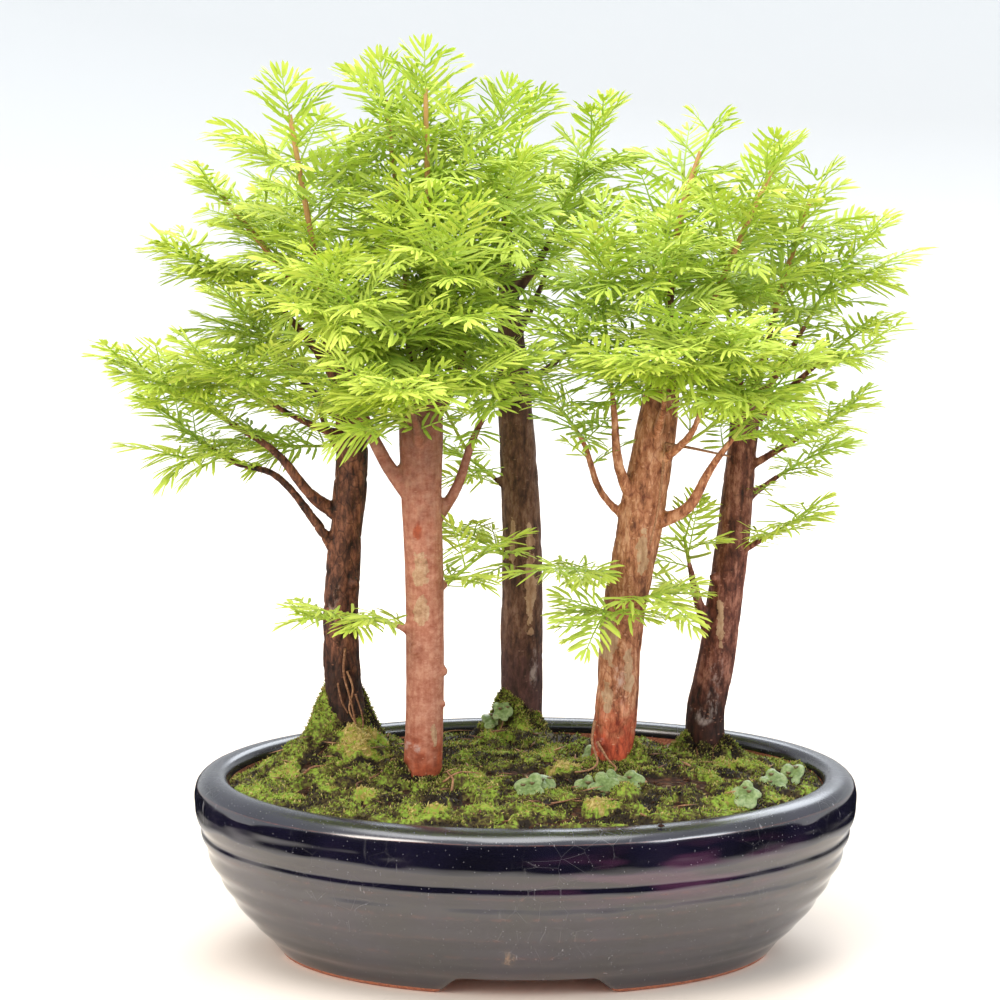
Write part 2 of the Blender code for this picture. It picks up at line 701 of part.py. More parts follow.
def spray_places(stem, tip):
    """Base and direction of every spray of a shoot: the end one first, then pairs down it."""
    places = [(stem[-3], tip - stem[-3])]
    length = len(stem) * MM
    pairs = max(1, round((length - TOP_SPACE) / SIDE_SPRAY_SPACING))
    for pair in range(pairs):
        down = TOP_SPACE + pair * SIDE_SPRAY_SPACING
        index = max(2, len(stem) - 1 - round(down / MM))
        along = (stem[index] - stem[index - 2]).normalized()
        across = along.cross(Vector((0, 0, 1)))
        if across.length < 0.35:
            across = Vector((1, 0, 0))
        across.normalize()
        across = Matrix.Rotation(math.pi / 2 * pair, 3, along) @ across if along.z > 0.7 else across
        for hand in (1, -1):
            direction = along * math.cos(SIDE_SPRAY_ANGLE)
            direction += across * hand * math.sin(SIDE_SPRAY_ANGLE)
            places.append((stem[index - hand], direction))
    return places


def is_clear(tree, others):
    return not any(tree.overlap(other) for other in others)


def make_shoots(woods):
    """Every leafy shoot: its stem, and the sprays that find room beside all the others."""
    leaf = material("fresh_needles", (0.26, 0.55, 0.03), 0.5)
    bark_trees = []
    for wood in woods:
        work = bmesh.new()
        work.from_mesh(wood.data)
        bark_trees.append(BVHTree.FromBMesh(work))
        work.free()
    shoots = []
    for tree in TRUNKS:
        for number, limb in enumerate(LIMBS[tree], 1):
            _, stem, tip = limb_parts(tree, limb)
            count = max(2, round(len(stem) * MM / STEM_POINT_SPACING) + 1)
            radii = [
                STEM_RADIUS + (STEM_TIP_RADIUS - STEM_RADIUS) * i / (count - 1) for i in range(count)
            ]
            name = f"shoot_{tree}_{number:02d}"
            solid = tube(name, spaced(stem, count), radii, STEM_ROUNDNESS, finish=leaf)
            work = bmesh.new()
            work.from_mesh(solid.data)
            shoots.append((solid, stem, tip, [BVHTree.FromBMesh(work)]))
            work.free()
    dropped = 0
    ready = [[] for _ in shoots]
    for rank in range(MOST_SPRAYS):
        for index, (solid, stem, tip, taken) in enumerate(shoots):
            places = spray_places(stem, tip)
            if rank >= len(places):
                continue
            base, direction = places[rank]
            pairs = SIDE_PAIRS if rank else END_PAIRS
            others = list(bark_trees)
            for other in shoots:
                if other[0] is not solid:
                    others += other[3]
            for lift, swing, size in SPRAY_TURNS:
                matrix = spray_matrix(base, direction, lift, swing)
                test = spray_solid(matrix, pairs, size, SPRAY_THICKNESS + 2 * CLEARANCE)
                clear = is_clear(BVHTree.FromBMesh(test), others)
                test.free()
                if clear:
                    break
            else:
                dropped += 1
                continue
            work = spray_solid(matrix, pairs, size, SPRAY_THICKNESS)
            taken.append(BVHTree.FromBMesh(work))
            mesh = bpy.data.meshes.new("spray")
            work.to_mesh(mesh)
            work.free()
            ready[index].append(add_object("spray", mesh))
    for (solid, _, _, _), sprays in zip(shoots, ready):
        combine(solid, sprays)
    print("sprays", sum(len(s) for s in ready), "left out for want of room", dropped)


def main():
    clear_scene()
    collection(PARTS)
    collection(CUTTERS)
    make_tray()
    make_drain_mesh("drain_mesh_left", -1)
    make_drain_mesh("drain_mesh_right", 1)
    make_soil()
    make_moss()
    woods = [make_tree(tree) for tree in TRUNKS]
    make_shoots(woods)


main()
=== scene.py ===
# Looks of a dawn redwood bonsai forest: five trees in mossy soil in an oval glazed tray.
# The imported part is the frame: metres, +Z up, the photographed front towards -Y.

import math
import random

import bpy
import numpy as np
from mathutils import Matrix, Vector, noise


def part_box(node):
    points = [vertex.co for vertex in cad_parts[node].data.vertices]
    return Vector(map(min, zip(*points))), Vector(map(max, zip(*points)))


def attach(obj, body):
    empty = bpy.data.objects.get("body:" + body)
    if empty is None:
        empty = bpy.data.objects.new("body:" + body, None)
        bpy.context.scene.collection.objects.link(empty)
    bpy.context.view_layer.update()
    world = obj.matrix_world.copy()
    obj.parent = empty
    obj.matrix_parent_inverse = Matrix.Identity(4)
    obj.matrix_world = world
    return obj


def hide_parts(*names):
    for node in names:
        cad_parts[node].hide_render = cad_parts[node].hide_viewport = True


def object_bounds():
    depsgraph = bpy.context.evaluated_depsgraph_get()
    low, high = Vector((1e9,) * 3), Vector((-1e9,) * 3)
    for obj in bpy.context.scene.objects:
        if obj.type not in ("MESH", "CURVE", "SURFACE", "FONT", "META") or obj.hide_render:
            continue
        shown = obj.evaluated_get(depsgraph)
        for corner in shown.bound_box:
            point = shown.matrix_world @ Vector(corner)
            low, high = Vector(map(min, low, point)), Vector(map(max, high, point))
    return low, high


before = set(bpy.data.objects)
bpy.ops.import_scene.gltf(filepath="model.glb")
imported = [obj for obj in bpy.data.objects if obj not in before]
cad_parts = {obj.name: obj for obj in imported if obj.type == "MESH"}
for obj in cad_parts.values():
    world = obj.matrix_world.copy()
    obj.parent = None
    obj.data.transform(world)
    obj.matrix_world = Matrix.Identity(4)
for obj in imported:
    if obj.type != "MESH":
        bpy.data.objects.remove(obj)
cad_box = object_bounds()
MM = 0.001


# Camera, floor and light. A long lens in front, at the height of the crown, looks a little down.
# The floor is plain pale card that sweeps up into a backdrop, under large soft lamps.
CAMERA_PLACE = Vector((0.0, -1.2, 0.3762))
CAMERA_TILT = math.radians(9.34)
LENS = 113.04
FLOOR_FLAT = 1.4
FLOOR_SWEEP = 1.3
# Radii of the inner rings of the flat floor, and how far the sweep has bent up at each of its rows
FLOOR_RINGS = (0.02, 0.3)
FLOOR_BENDS = [math.radians(angle) for angle in range(6, 73, 6)]
FLOOR_STEPS = 96
# The card's colour runs from near to far between these distances from the middle
CARD_FADE = (0.3, 2.6)
CARD_NEAR = "#F8EBDD"
CARD_FAR = "#E5E8E9"
LAMPS = (
    # name, place, width, power and colour; each faces the middle of the planting
    ("lamp_above", (-0.15, -0.25, 1.75), 1.5, 23.5, "#FFFFFF"),
    ("lamp_front_left", (-1.15, -1.25, 1.15), 0.9, 19.5, "#FFF6EC"),
    ("lamp_front_right", (1.25, -1.05, 0.95), 0.8, 11.0, "#F4F9FF"),
    ("lamp_behind", (0.35, 1.25, 1.25), 1.2, 17.0, "#F2F8FF"),
)
LAMP_AIM = Vector((0.0, 0.0, 0.17))
SKY_COLOUR = "#F3F8FF"
SKY_STRENGTH = 0.8
# The dark room beyond the pale floor: each row's radius, and how far it rises in front; then
# how far it lies above the floor, and how many times as wide as deep it is
DARK_ROWS = ((0.155, 0.0), (0.215, 0.0), (0.8, 0.0), (1.05, 0.05), (1.2, 0.6))
DARK_LIFT = 3 * MM
DARK_WIDER = 1.35
DARK_STEPS = 72


def linear(colour):
    """An sRGB hex colour such as "#14142A" as linear red, green and blue, with alpha 1."""
    shares = [int(colour[place:place + 2], 16) / 255 for place in (1, 3, 5)]
    return (*[s / 12.92 if s <= 0.04045 else ((s + 0.055) / 1.055) ** 2.4 for s in shares], 1.0)


def new_material(name):
    """An empty node material."""
    material = bpy.data.materials.new(name)
    material.use_nodes = True
    material.node_tree.nodes.clear()
    return material


def add_node(material, kind, inputs=None, stops=None, **settings):
    """Add a shader node, with its settings, its ramp's stops, and each input's value or link.

    A node given as an input's value is linked from its first output.
    """
    tree = material.node_tree
    made = tree.nodes.new("ShaderNode" + kind)
    for name, value in settings.items():
        setattr(made, name, value)
    if stops:
        elements = made.color_ramp.elements
        while len(elements) < len(stops):
            elements.new(0.5)
        for element, (place, colour) in zip(elements, stops):
            element.position = place
            element.color = linear(colour)
    for name, value in (inputs or {}).items():
        if isinstance(value, bpy.types.Node):
            value = value.outputs[0]
        if isinstance(value, bpy.types.NodeSocket):
            tree.links.new(value, made.inputs[name])
        else:
            made.inputs[name].default_value = value
    return made


class Build:
    """Points and faces gathered for one piece, with a tone for each point."""

    def __init__(self):
        self.points, self.faces, self.tones, self.finishes = [], [], [], []
        self.count = 0

    def add(self, points, faces, tones=0.0, finish=0):
        """Add points, and faces that count from the first of them."""
        points = np.asarray(points, float)
        self.points.append(points)
        self.tones.append(np.broadcast_to(np.asarray(tones, float), len(points)))
        self.join([tuple(corner + self.count for corner in face) for face in faces], finish)
        self.count += len(points)

    def join(self, faces, finish=0):
        """Add faces over points that are there already."""
        self.faces += faces
        self.finishes += [finish] * len(faces)

    def piece(self, name, materials, smooth=True):
        """Make the mesh object, with the tones in a point attribute for the material to read."""
        mesh = bpy.data.meshes.new(name)
        mesh.from_pydata(np.concatenate(self.points).tolist(), [], self.faces)
        for material in materials:
            mesh.materials.append(material)
        mesh.polygons.foreach_set("material_index", self.finishes)
        mesh.polygons.foreach_set("use_smooth", [smooth] * len(mesh.polygons))
        tone = mesh.attributes.new("tone", "FLOAT", "POINT")
        tone.data.foreach_set("value", np.concatenate(self.tones).astype(np.float32))
        mesh.update()
        made = bpy.data.objects.new(name, mesh)
        bpy.context.scene.collection.objects.link(made)
        return made


def turns(count):
    """Angles evenly round a circle."""
    return [2 * math.pi * step / count for step in range(count)]


def ring_faces(rings, sides, caps=(True, True)):
    """Faces over rings of points, one ring after another, with flat faces over the two ends."""
    faces = []
    for ring in range(rings - 1):
        low, high = ring * sides, (ring + 1) * sides
        for side in range(sides):
            after = (side + 1) % sides
            faces.append((low + side, low + after, high + after, high + side))
    if caps[0]:
        faces.append(tuple(reversed(range(sides))))
    if caps[1]:
        faces.append(tuple((rings - 1) * sides + side for side in range(sides)))
    return faces


def make_camera():
    data = bpy.data.cameras.new("camera")
    data.lens = LENS
    camera = bpy.data.objects.new("camera", data)
    camera.location = CAMERA_PLACE
    camera.rotation_euler = (math.pi / 2 - CAMERA_TILT, 0, 0)
    bpy.context.scene.collection.objects.link(camera)
    bpy.context.scene.camera = camera


def make_floor():
    """Matt pale card: flat under the tray, and swept up into a backdrop all round."""
    card = new_material("pale_matt_card")
    place = add_node(card, "NewGeometry").outputs["Position"]
    away = add_node(card, "VectorMath", {0: place}, operation="LENGTH").outputs["Value"]
    far = add_node(card, "MapRange", {0: away, 1: CARD_FADE[0], 2: CARD_FADE[1]},
                   interpolation_type="SMOOTHSTEP")
    colour = add_node(card, "MixRGB", {
        "Fac": far, "Color1": linear(CARD_NEAR), "Color2": linear(CARD_FAR),
    })
    shader = add_node(card, "BsdfDiffuse", {"Color": colour})
    add_node(card, "OutputMaterial", {"Surface": shader})
    profile = [(radius, 0.0) for radius in (*FLOOR_RINGS, FLOOR_FLAT)]
    profile += [
        (FLOOR_FLAT + FLOOR_SWEEP * math.sin(bend), FLOOR_SWEEP * (1 - math.cos(bend)))
        for bend in FLOOR_BENDS
    ]
    build = Build()
    points = [
        (radius * math.cos(turn), radius * math.sin(turn), height)
        for radius, height in reversed(profile) for turn in turns(FLOOR_STEPS)
    ]
    build.add(points, ring_faces(len(profile), FLOOR_STEPS, (False, True)))
    floor = build.piece("floor", [card])


def make_lamps():
    for name, place, width, power, colour in LAMPS:
        data = bpy.data.lights.new(name, "AREA")
        data.shape = "DISK"
        data.size = width
        data.energy = power
        data.color = linear(colour)[:3]
        lamp = bpy.data.objects.new(name, data)
        lamp.location = place
        lamp.rotation_euler = (LAMP_AIM - Vector(place)).to_track_quat("-Z", "Y").to_euler()
        bpy.context.scene.collection.objects.link(lamp)
    world = bpy.data.worlds.new("studio")
    world.use_nodes = True
    sky = world.node_tree.nodes["Background"]
    sky.inputs["Color"].default_value = linear(SKY_COLOUR)
    sky.inputs["Strength"].default_value = SKY_STRENGTH
    bpy.context.scene.world = world
    bpy.context.scene.view_settings.view_transform = "Standard"


def make_dark_room():
    """The dark room round the floor, which rises in front: only gloss mirrors it."""
    felt = new_material("dark_felt")
    place = add_node(felt, "NewGeometry").outputs["Position"]
    flat = add_node(felt, "VectorMath", {0: place, 1: (1 / DARK_WIDER, 1, 0)}, operation="MULTIPLY")
    away = add_node(felt, "VectorMath", {0: flat}, operation="LENGTH").outputs["Value"]
    shade = add_node(felt, "ValToRGB", {"Fac": away}, (
        (DARK_ROWS[0][0], "#E9E1DA"), (DARK_ROWS[1][0], "#15161B"),
    ))
    shader = add_node(felt, "BsdfPrincipled", {
        "Base Color": shade, "Roughness": 1.0, "Specular IOR Level": 0.0,
    })
    add_node(felt, "OutputMaterial", {"Surface": shader})
    build = Build()
    points = [
        (DARK_WIDER * radius * math.cos(turn), radius * math.sin(turn),
         DARK_LIFT + rise * math.sqrt(max(0.0, -math.sin(turn))))
        for radius, rise in reversed(DARK_ROWS) for turn in turns(DARK_STEPS)
    ]
    build.add(points, ring_faces(len(DARK_ROWS), DARK_STEPS, (False, False)))
    room = build.piece("dark_room", [felt])
    room.visible_camera = False
    room.visible_diffuse = False
    room.visible_transmission = False
    room.visible_shadow = False


make_camera()
make_floor()
make_lamps()
make_dark_room()


# Tray. Oval stoneware on four arc feet, dipped in a glossy navy-black glaze: thick and dark on
# the walls, rust-brown where it runs thin on the rim's edge. Feet and inside are bare clay.
tray_low, tray_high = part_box("tray")
TRAY_X = (tray_low.x + tray_high.x) / 2
HALF_WIDTH = (tray_high.x - tray_low.x) / 2
HALF_DEPTH = (tray_high.y - tray_low.y) / 2
TRAY_HEIGHT = tray_high.z
# The plan: at each height the half-depth is this much less than the half-width
OVAL_INSET = HALF_WIDTH - HALF_DEPTH
OVAL_CORE = 80 * MM
TRAY_STEPS = 288
WALL = 8 * MM
RIM_WIDTH = 13.3 * MM
FOOT_HEIGHT = 8 * MM
FLOOR_TOP = 14 * MM
FOOT_GAP_HALF_LENGTH = 26 * MM
FOOT_GAP_SPLAY = 8 * MM
END_GAP_HALF_LENGTH = 13 * MM
FOOT_GAP_TOP = 7.6 * MM
DRAIN_RADIUS = 8 * MM
DRAIN_SIDES = 48
DRAIN_OFFSET = 46 * MM
CLEARANCE = 0.3 * MM
# The wall's curve: its half-width at the foot as a share of the rim's, and how fast it fills out
FOOT_SHARE = 0.785
FILL_RATE = 1.12
FILL_POWER = 0.8
# Throwing marks on the wall: height, how far each stands out, and its spread, in millimetres
RIDGES = (
    (57.0, 0.15, 2.0), (51.0, -0.85, 2.0), (43.5, -0.7, 2.2), (38.0, 0.5, 2.2), (33.0, -0.35, 1.8),
    (28.5, 0.35, 1.8), (24.0, -0.3, 1.7), (20.0, 0.4, 2.6), (15.0, -0.2, 1.5),
)
# The rim from the inner wall over the ledge to the outer wall, as radius and height in mm
RIM = (
    (116.7, 60.0), (116.7, 66.2), (116.7, 66.8), (116.9, 68.6), (117.6, 70.2), (118.9, 71.2),
    (120.6, 71.5), (123.0, 71.45), (124.9, 71.0), (126.6, 70.2), (127.9, 69.1), (128.8, 67.9),
    (129.0, 67.5), (129.15, 67.1), (129.4, 66.2), (129.65, 65.0), (129.85, 63.8),
)
RIM_EDGE = (129.0, 67.5)
BARE_BELOW = 66.5
# Heights of the crests where the glaze has run thin and shows brown, and their spread, in mm
THIN_LINES = (46.5, 38.0, 28.5, 20.0, 11.0)
THIN_SPREAD = 1.1
THIN_TONE = 0.62
# Rows of points down the outer wall: the highest, the lowest and the step between, in mm
WALL_ROWS = (62.6, 8.2, 0.9)
# Heights of the rows of points up the inner wall, in mm, over a rounded corner with the floor
INNER_ROWS = range(18, 57, 6)
CORNER_WIDTH = 5 * MM
CORNER_CUT = 1.4 * MM
# Tones that the material reads: the worn edge of the rim, and clay that the glaze leaves bare
EDGE_TONE = 1.0
CLAY_TONE = 2.0
# Bare clay ends at this half-width inside the rim, and at this height and half-width at the foot
RIM_CLAY = 117
FOOT_CLAY = (1.6, 90)
# A plum-grey patch painted on the glaze as a reflection, and a tan patch where hard water has dried,
# in mm
REFLECTION_PATCH_PLACE = (63.333, -83.333, 53.333)
REFLECTION_PATCH_STRETCH = (0.3, 0.3, 1.5)
STAIN_PLACE = (2.9, -82.0, 19.09)
STAIN_STRETCH = (1.0, 0.5, 0.55)
# The potter's hand: how unround the wall is, as a share, and how wavy it is above a height
UNROUND = 0.0012
RIM_WAVE = 0.25 * MM
WAVY_ABOVE = 40 * MM
# The feet are cut out of the foot ring's outer part, beyond this half-width
FOOT_RING_INSIDE = 70 * MM
# The foot ring from the wall down and back up to the underside
FOOT_RING = (
    (101.2, 6.6), (99.6, 4.4), (98.0, 2.3), (97.2, 1.5), (96.6, 0.5), (95.6, 0.0), (85.2, 0.0),
    (84.4, 0.6), (84.2, 4.0), (84.2, 7.7), (83.8, 8.0), (60.0, 8.0), (4.0, 8.0),
)


def fit(piece, slot, *nodes):
    """Fix a piece to the part, in place of the nodes that it stands for; slot is not used."""
    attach(piece, "root")
    if nodes:
        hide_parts(*nodes)
    return piece


def outer_radius(height):
    """The tray's outer half-width at a height: a bowl with soft throwing marks."""
    rise = (height - FOOT_HEIGHT) / (TRAY_HEIGHT - FOOT_HEIGHT)
    fill = math.sin(math.pi / 2 * min(1.0, rise * FILL_RATE)) ** FILL_POWER
    radius = HALF_WIDTH * (FOOT_SHARE + (1 - FOOT_SHARE) * fill)
    for level, size, spread in RIDGES:
        radius += size * MM * math.exp(-((height / MM - level) / spread) ** 2)
    return radius


def oval(radius, turn):
    """The plan's point at a half-width and an angle: an oval that is rounder near the middle."""
    narrow = 1 - OVAL_INSET / max(radius, OVAL_CORE)
    return TRAY_X + radius * math.cos(turn), radius * math.sin(turn) * narrow


def foot_gap(x, y):
    """How high the gaps between the feet rise over a point, or 0 under a foot."""
    across = abs(x - TRAY_X)
    slope = (FOOT_GAP_HALF_LENGTH + FOOT_GAP_SPLAY - across) / FOOT_GAP_SPLAY
    high = FOOT_GAP_TOP * min(1.0, max(0.0, slope))
    if abs(y) < END_GAP_HALF_LENGTH and across > FOOT_GAP_HALF_LENGTH:
        high = FOOT_GAP_TOP
    return high


def glaze_material():
    """Navy-black stoneware glaze: glassy, faintly rippled, with dust, thin rusty edges and clay."""
    glaze = new_material("navy_glazed_stoneware")
    place = add_node(glaze, "NewGeometry").outputs["Position"]
    edge = add_node(glaze, "Attribute", attribute_name="tone").outputs["Fac"]
    clouds = add_node(glaze, "TexNoise", {"Vector": place, "Scale": 1 / (22 * MM), "Detail": 1.0})
    plain = add_node(glaze, "ValToRGB", {"Fac": clouds}, (
        (0.3, "#0A0914"), (0.55, "#100E1F"), (0.8, "#1C1628"),
    ))
    # A painted reflection: plum-grey wavy streaks on the right of the front
    flat = add_node(glaze, "Mapping", {"Vector": place, "Scale": REFLECTION_PATCH_STRETCH})
    streaks = add_node(glaze, "TexNoise", {"Vector": flat, "Scale": 1 / (7 * MM), "Detail": 1.0})
    streak = add_node(glaze, "MapRange", {0: streaks, 1: 0.45, 2: 0.62})
    reflection_patch_place = [share * size * MM for share, size in zip(REFLECTION_PATCH_STRETCH, REFLECTION_PATCH_PLACE)]
    ran = add_node(glaze, "VectorMath", {0: flat, 1: reflection_patch_place}, operation="DISTANCE")
    reflection_here = add_node(glaze, "MapRange", {0: ran.outputs["Value"], 1: 22 * MM, 2: 8 * MM, 4: 0.8})
    painted_reflection = add_node(glaze, "Math", {0: streak, 1: reflection_here}, operation="MULTIPLY")
    body = add_node(glaze, "MixRGB", {"Fac": painted_reflection, "Color1": plain, "Color2": linear("#43243C")})
    # Grains of lime dust: two cells in five hold a speck about 0.3 mm across, faint or plain
    grain = add_node(glaze, "TexVoronoi", {"Vector": place, "Scale": 1 / (1.3 * MM)})
    near = add_node(glaze, "MapRange", {0: grain.outputs["Distance"], 1: 0.17, 2: 0.07})
    chosen = add_node(glaze, "SeparateColor", {0: grain.outputs["Color"]})
    sparse = add_node(glaze, "MapRange", {0: chosen, 1: 0.6, 2: 1.0})
    speck = add_node(glaze, "Math", {0: near, 1: sparse}, operation="MULTIPLY")
    # Fine upright scratches and dried runs
    thin = add_node(glaze, "Mapping", {"Vector": place, "Scale": (1, 1, 0.09)})
    runs = add_node(glaze, "TexNoise", {"Vector": thin, "Scale": 1 / (2.4 * MM), "Detail": 2.0})
    run = add_node(glaze, "MapRange", {0: runs, 1: 0.70, 2: 0.78})
    film = add_node(glaze, "TexNoise", {"Vector": place, "Scale": 1 / (35 * MM), "Detail": 0.0})
    where = add_node(glaze, "MapRange", {0: film, 1: 0.5, 2: 0.7})
    scratch = add_node(glaze, "Math", {0: run, 1: where}, operation="MULTIPLY")
    # A net of fine craze lines about 8 mm apart, which shows where grime has settled in it
    net = add_node(glaze, "TexVoronoi", {"Vector": place, "Scale": 1 / (8 * MM)},
                   feature="DISTANCE_TO_EDGE")
    line = add_node(glaze, "MapRange", {0: net.outputs["Distance"], 1: 0.014, 2: 0.0, 4: 0.15})
    grimy = add_node(glaze, "MapRange", {0: film, 1: 0.5, 2: 0.6})
    craze = add_node(glaze, "Math", {0: line, 1: grimy}, operation="MULTIPLY")
    marks = add_node(glaze, "Math", {0: scratch, 1: craze}, operation="ADD")
    dust = add_node(glaze, "Math", {0: speck, 1: marks}, operation="ADD")
    thinly = add_node(glaze, "Math", {0: dust, 1: 0.7}, operation="MULTIPLY", use_clamp=True)
    dusty = add_node(glaze, "MixRGB", {"Fac": thinly, "Color1": body, "Color2": linear("#A9A8AC")})
    # The glaze thins to rust towards the edge's tone, and ends in a slightly ragged line
    ragged = add_node(glaze, "TexNoise", {"Vector": place, "Scale": 1 / (2.6 * MM), "Detail": 1.0})
    shift = add_node(glaze, "Math", {0: ragged, 1: 0.5}, operation="SUBTRACT")
    shifted = add_node(glaze, "Math", {0: edge, 1: shift}, operation="ADD")
    rusty = add_node(glaze, "MapRange", {0: shifted, 1: 0.45, 2: 1.0, 4: 0.4})
    bare = add_node(glaze, "MapRange", {0: shifted, 1: 1.3, 2: 1.5})
    rust = add_node(glaze, "MixRGB", {"Fac": rusty, "Color1": dusty, "Color2": linear("#7C4433")})
    sand = add_node(glaze, "TexNoise", {"Vector": place, "Scale": 1 / (0.8 * MM), "Detail": 1.0})
    clay = add_node(glaze, "ValToRGB", {"Fac": sand}, (
        (0.3, "#8A4428"), (0.55, "#B4653F"), (0.75, "#CB8159"),
    ))
    colour = add_node(glaze, "MixRGB", {"Fac": bare, "Color1": rust, "Color2": clay})
    # Hard water has dried in a small tan patch low on the front
    drip = add_node(glaze, "Mapping", {"Vector": place, "Scale": STAIN_STRETCH})
    stain_place = [share * size * MM for share, size in zip(STAIN_STRETCH, STAIN_PLACE)]
    stain_away = add_node(glaze, "VectorMath", {0: drip, 1: stain_place}, operation="DISTANCE")
    stained = add_node(glaze, "MapRange", {0: stain_away.outputs["Value"], 1: 3.4 * MM, 2: 0.6 * MM})
    spotty = add_node(glaze, "MapRange", {0: runs, 1: 0.36, 2: 0.6})
    stain = add_node(glaze, "Math", {0: stained, 1: spotty}, operation="MULTIPLY")
    partly = add_node(glaze, "Math", {0: stain, 1: 0.6}, operation="MULTIPLY")
    final = add_node(glaze, "MixRGB", {
        "Fac": partly, "Color1": colour, "Color2": linear("#9A7B5E"),
    })
    # Handling and weather have dulled the top of the rim a little
    high = add_node(glaze, "SeparateXYZ", {0: place}).outputs["Z"]
    worn = add_node(glaze, "MapRange", {0: high, 1: 65 * MM, 2: 70 * MM, 3: 0.09, 4: 0.27})
    matt = add_node(glaze, "Math", {0: bare, 1: dust}, operation="MAXIMUM")
    rough = add_node(glaze, "MapRange", {0: matt, 3: worn, 4: 0.8})
    # The glaze ripples over some 7 mm in height and four times as far across; clay is sandy
    level = add_node(glaze, "Mapping", {"Vector": place, "Scale": (0.25, 0.25, 1)})
    ripple = add_node(glaze, "TexNoise", {"Vector": level, "Scale": 1 / (7 * MM), "Detail": 1.0})
    gloss = add_node(glaze, "Bump", {"Height": ripple, "Strength": 0.7, "Distance": 0.9 * MM})
    grit = add_node(glaze, "Bump", {
        "Height": sand, "Strength": bare, "Distance": 0.15 * MM, "Normal": gloss,
    })
    shader = add_node(glaze, "BsdfPrincipled", {
        "Base Color": final, "Roughness": rough, "IOR": 1.7,
        "Specular IOR Level": 0.8,
        "Normal": grit,
    })
    add_node(glaze, "OutputMaterial", {"Surface": shader})
    return glaze


def tray_profile():
    """Radius, height and tone of the section, from under the floor round to its top."""
    inner = [(outer_radius(height * MM) - WALL, height * MM) for height in INNER_ROWS]
    start = inner[0][0]
    section = [(4 * MM, FLOOR_TOP), (40 * MM, FLOOR_TOP), (start - CORNER_WIDTH, FLOOR_TOP)]
    section += [(start - CORNER_CUT, FLOOR_TOP + CORNER_CUT)]
    section += [(min(radius, HALF_WIDTH - RIM_WIDTH), height) for radius, height in inner]
    section = [(radius, height, CLAY_TONE) for radius, height in section]
    for radius, height in RIM:
        bare = radius < RIM_CLAY and height < BARE_BELOW
        edge = EDGE_TONE if (radius, height) == RIM_EDGE else 0.0
        section.append((radius * MM, height * MM, CLAY_TONE if bare else edge))
    height, lowest, step = WALL_ROWS
    while height > lowest:
        crest = max(math.exp(-((height - level) / THIN_SPREAD) ** 2) for level in THIN_LINES)
        section.append((outer_radius(height * MM), height * MM, THIN_TONE * crest))
        height -= step
    for radius, height in FOOT_RING:
        bare = height < FOOT_CLAY[0] or radius < FOOT_CLAY[1]
        section.append((radius * MM, height * MM, CLAY_TONE if bare else 0.0))
    return section[::-1]


def apply_modifiers(thing):
    """Swap a piece's mesh for the one that its modifiers make."""
    bpy.context.view_layer.update()
    graph = bpy.context.evaluated_depsgraph_get()
    mesh = bpy.data.meshes.new_from_object(thing.evaluated_get(graph))
    thing.modifiers.clear()
    thing.data = mesh


def make_tray():
    section = tray_profile()
    build = Build()
    points = []
    for radius, height, _ in section:
        for turn in turns(TRAY_STEPS):
            hand = noise.noise(Vector((math.cos(turn) * 2, math.sin(turn) * 2, height / (30 * MM))))
            x, y = oval(radius * (1 + UNROUND * hand), turn)
            z = height
            if height > WAVY_ABOVE:
                z += RIM_WAVE * noise.noise(Vector((math.cos(turn) * 1.5, math.sin(turn) * 1.5, 7)))
            if height < FOOT_HEIGHT - 0.01 * MM and radius > FOOT_RING_INSIDE:
                z = max(height, foot_gap(x, y))
            points.append((x, y, z))
    tones = np.repeat([tone for _, _, tone in section], TRAY_STEPS)
    build.add(points, ring_faces(len(section), TRAY_STEPS), tones)
    tray = build.piece("glazed_tray", [glaze_material()])
    for side in (-1, 1):
        drill = Build()
        rim = [
            (TRAY_X + side * DRAIN_OFFSET + DRAIN_RADIUS * math.cos(turn),
             DRAIN_RADIUS * math.sin(turn))
            for turn in turns(DRAIN_SIDES)
        ]
        drill.add([(x, y, z) for z in (0.0, FLOOR_TOP + 2 * MM) for x, y in rim],
                  ring_faces(2, len(rim)), CLAY_TONE)
        cutter = drill.piece("drill", [])
        cut = tray.modifiers.new("Drain hole", "BOOLEAN")
        cut.operation = "DIFFERENCE"
        cut.object = cutter
        apply_modifiers(tray)
        bpy.data.objects.remove(cutter, do_unlink=True)
    fit(tray, "glaze", "tray")


make_tray()


# Drain mesh. Two moulded black polyethylene squares over the drain holes: slightly waxy, with
# the fine grain of the mould.
def make_drain_mesh():
    plastic = new_material("black_moulded_polyethylene")
    place = add_node(plastic, "NewGeometry").outputs["Position"]
    grain = add_node(plastic, "TexNoise", {"Vector": place, "Scale": 1 / (0.6 * MM), "Detail": 3.0})
    dust = add_node(plastic, "ValToRGB", {"Fac": grain}, (
        (0.35, "#121312"), (0.7, "#232320"),
    ))
    rough = add_node(plastic, "MapRange", {0: grain, 3: 0.42, 4: 0.62})
    bump = add_node(plastic, "Bump", {"Height": grain, "Strength": 0.3, "Distance": 0.05 * MM})
    shader = add_node(plastic, "BsdfPrincipled", {
        "Base Color": dust, "Roughness": rough, "IOR": 1.51, "Normal": bump,
    })
    add_node(plastic, "OutputMaterial", {"Surface": shader})
    for name in ("drain_mesh_left", "drain_mesh_right"):
        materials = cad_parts[name].data.materials
        materials.clear()
        materials.append(plastic)


make_drain_mesh()


# Soil. Dark crumbly potting earth that fills the tray, heaped at two of the trees. It is matt,
# with lumps of several sizes, and shows where the moss is thin.
SOIL_CENTRE = 72 * MM
SOIL_EDGE = 65 * MM
SOIL_TILT = 4 * MM
SOIL_EDGE_HALF_WIDTH = HALF_WIDTH - RIM_WIDTH - 0.6 * MM
SOIL_GRID = 96
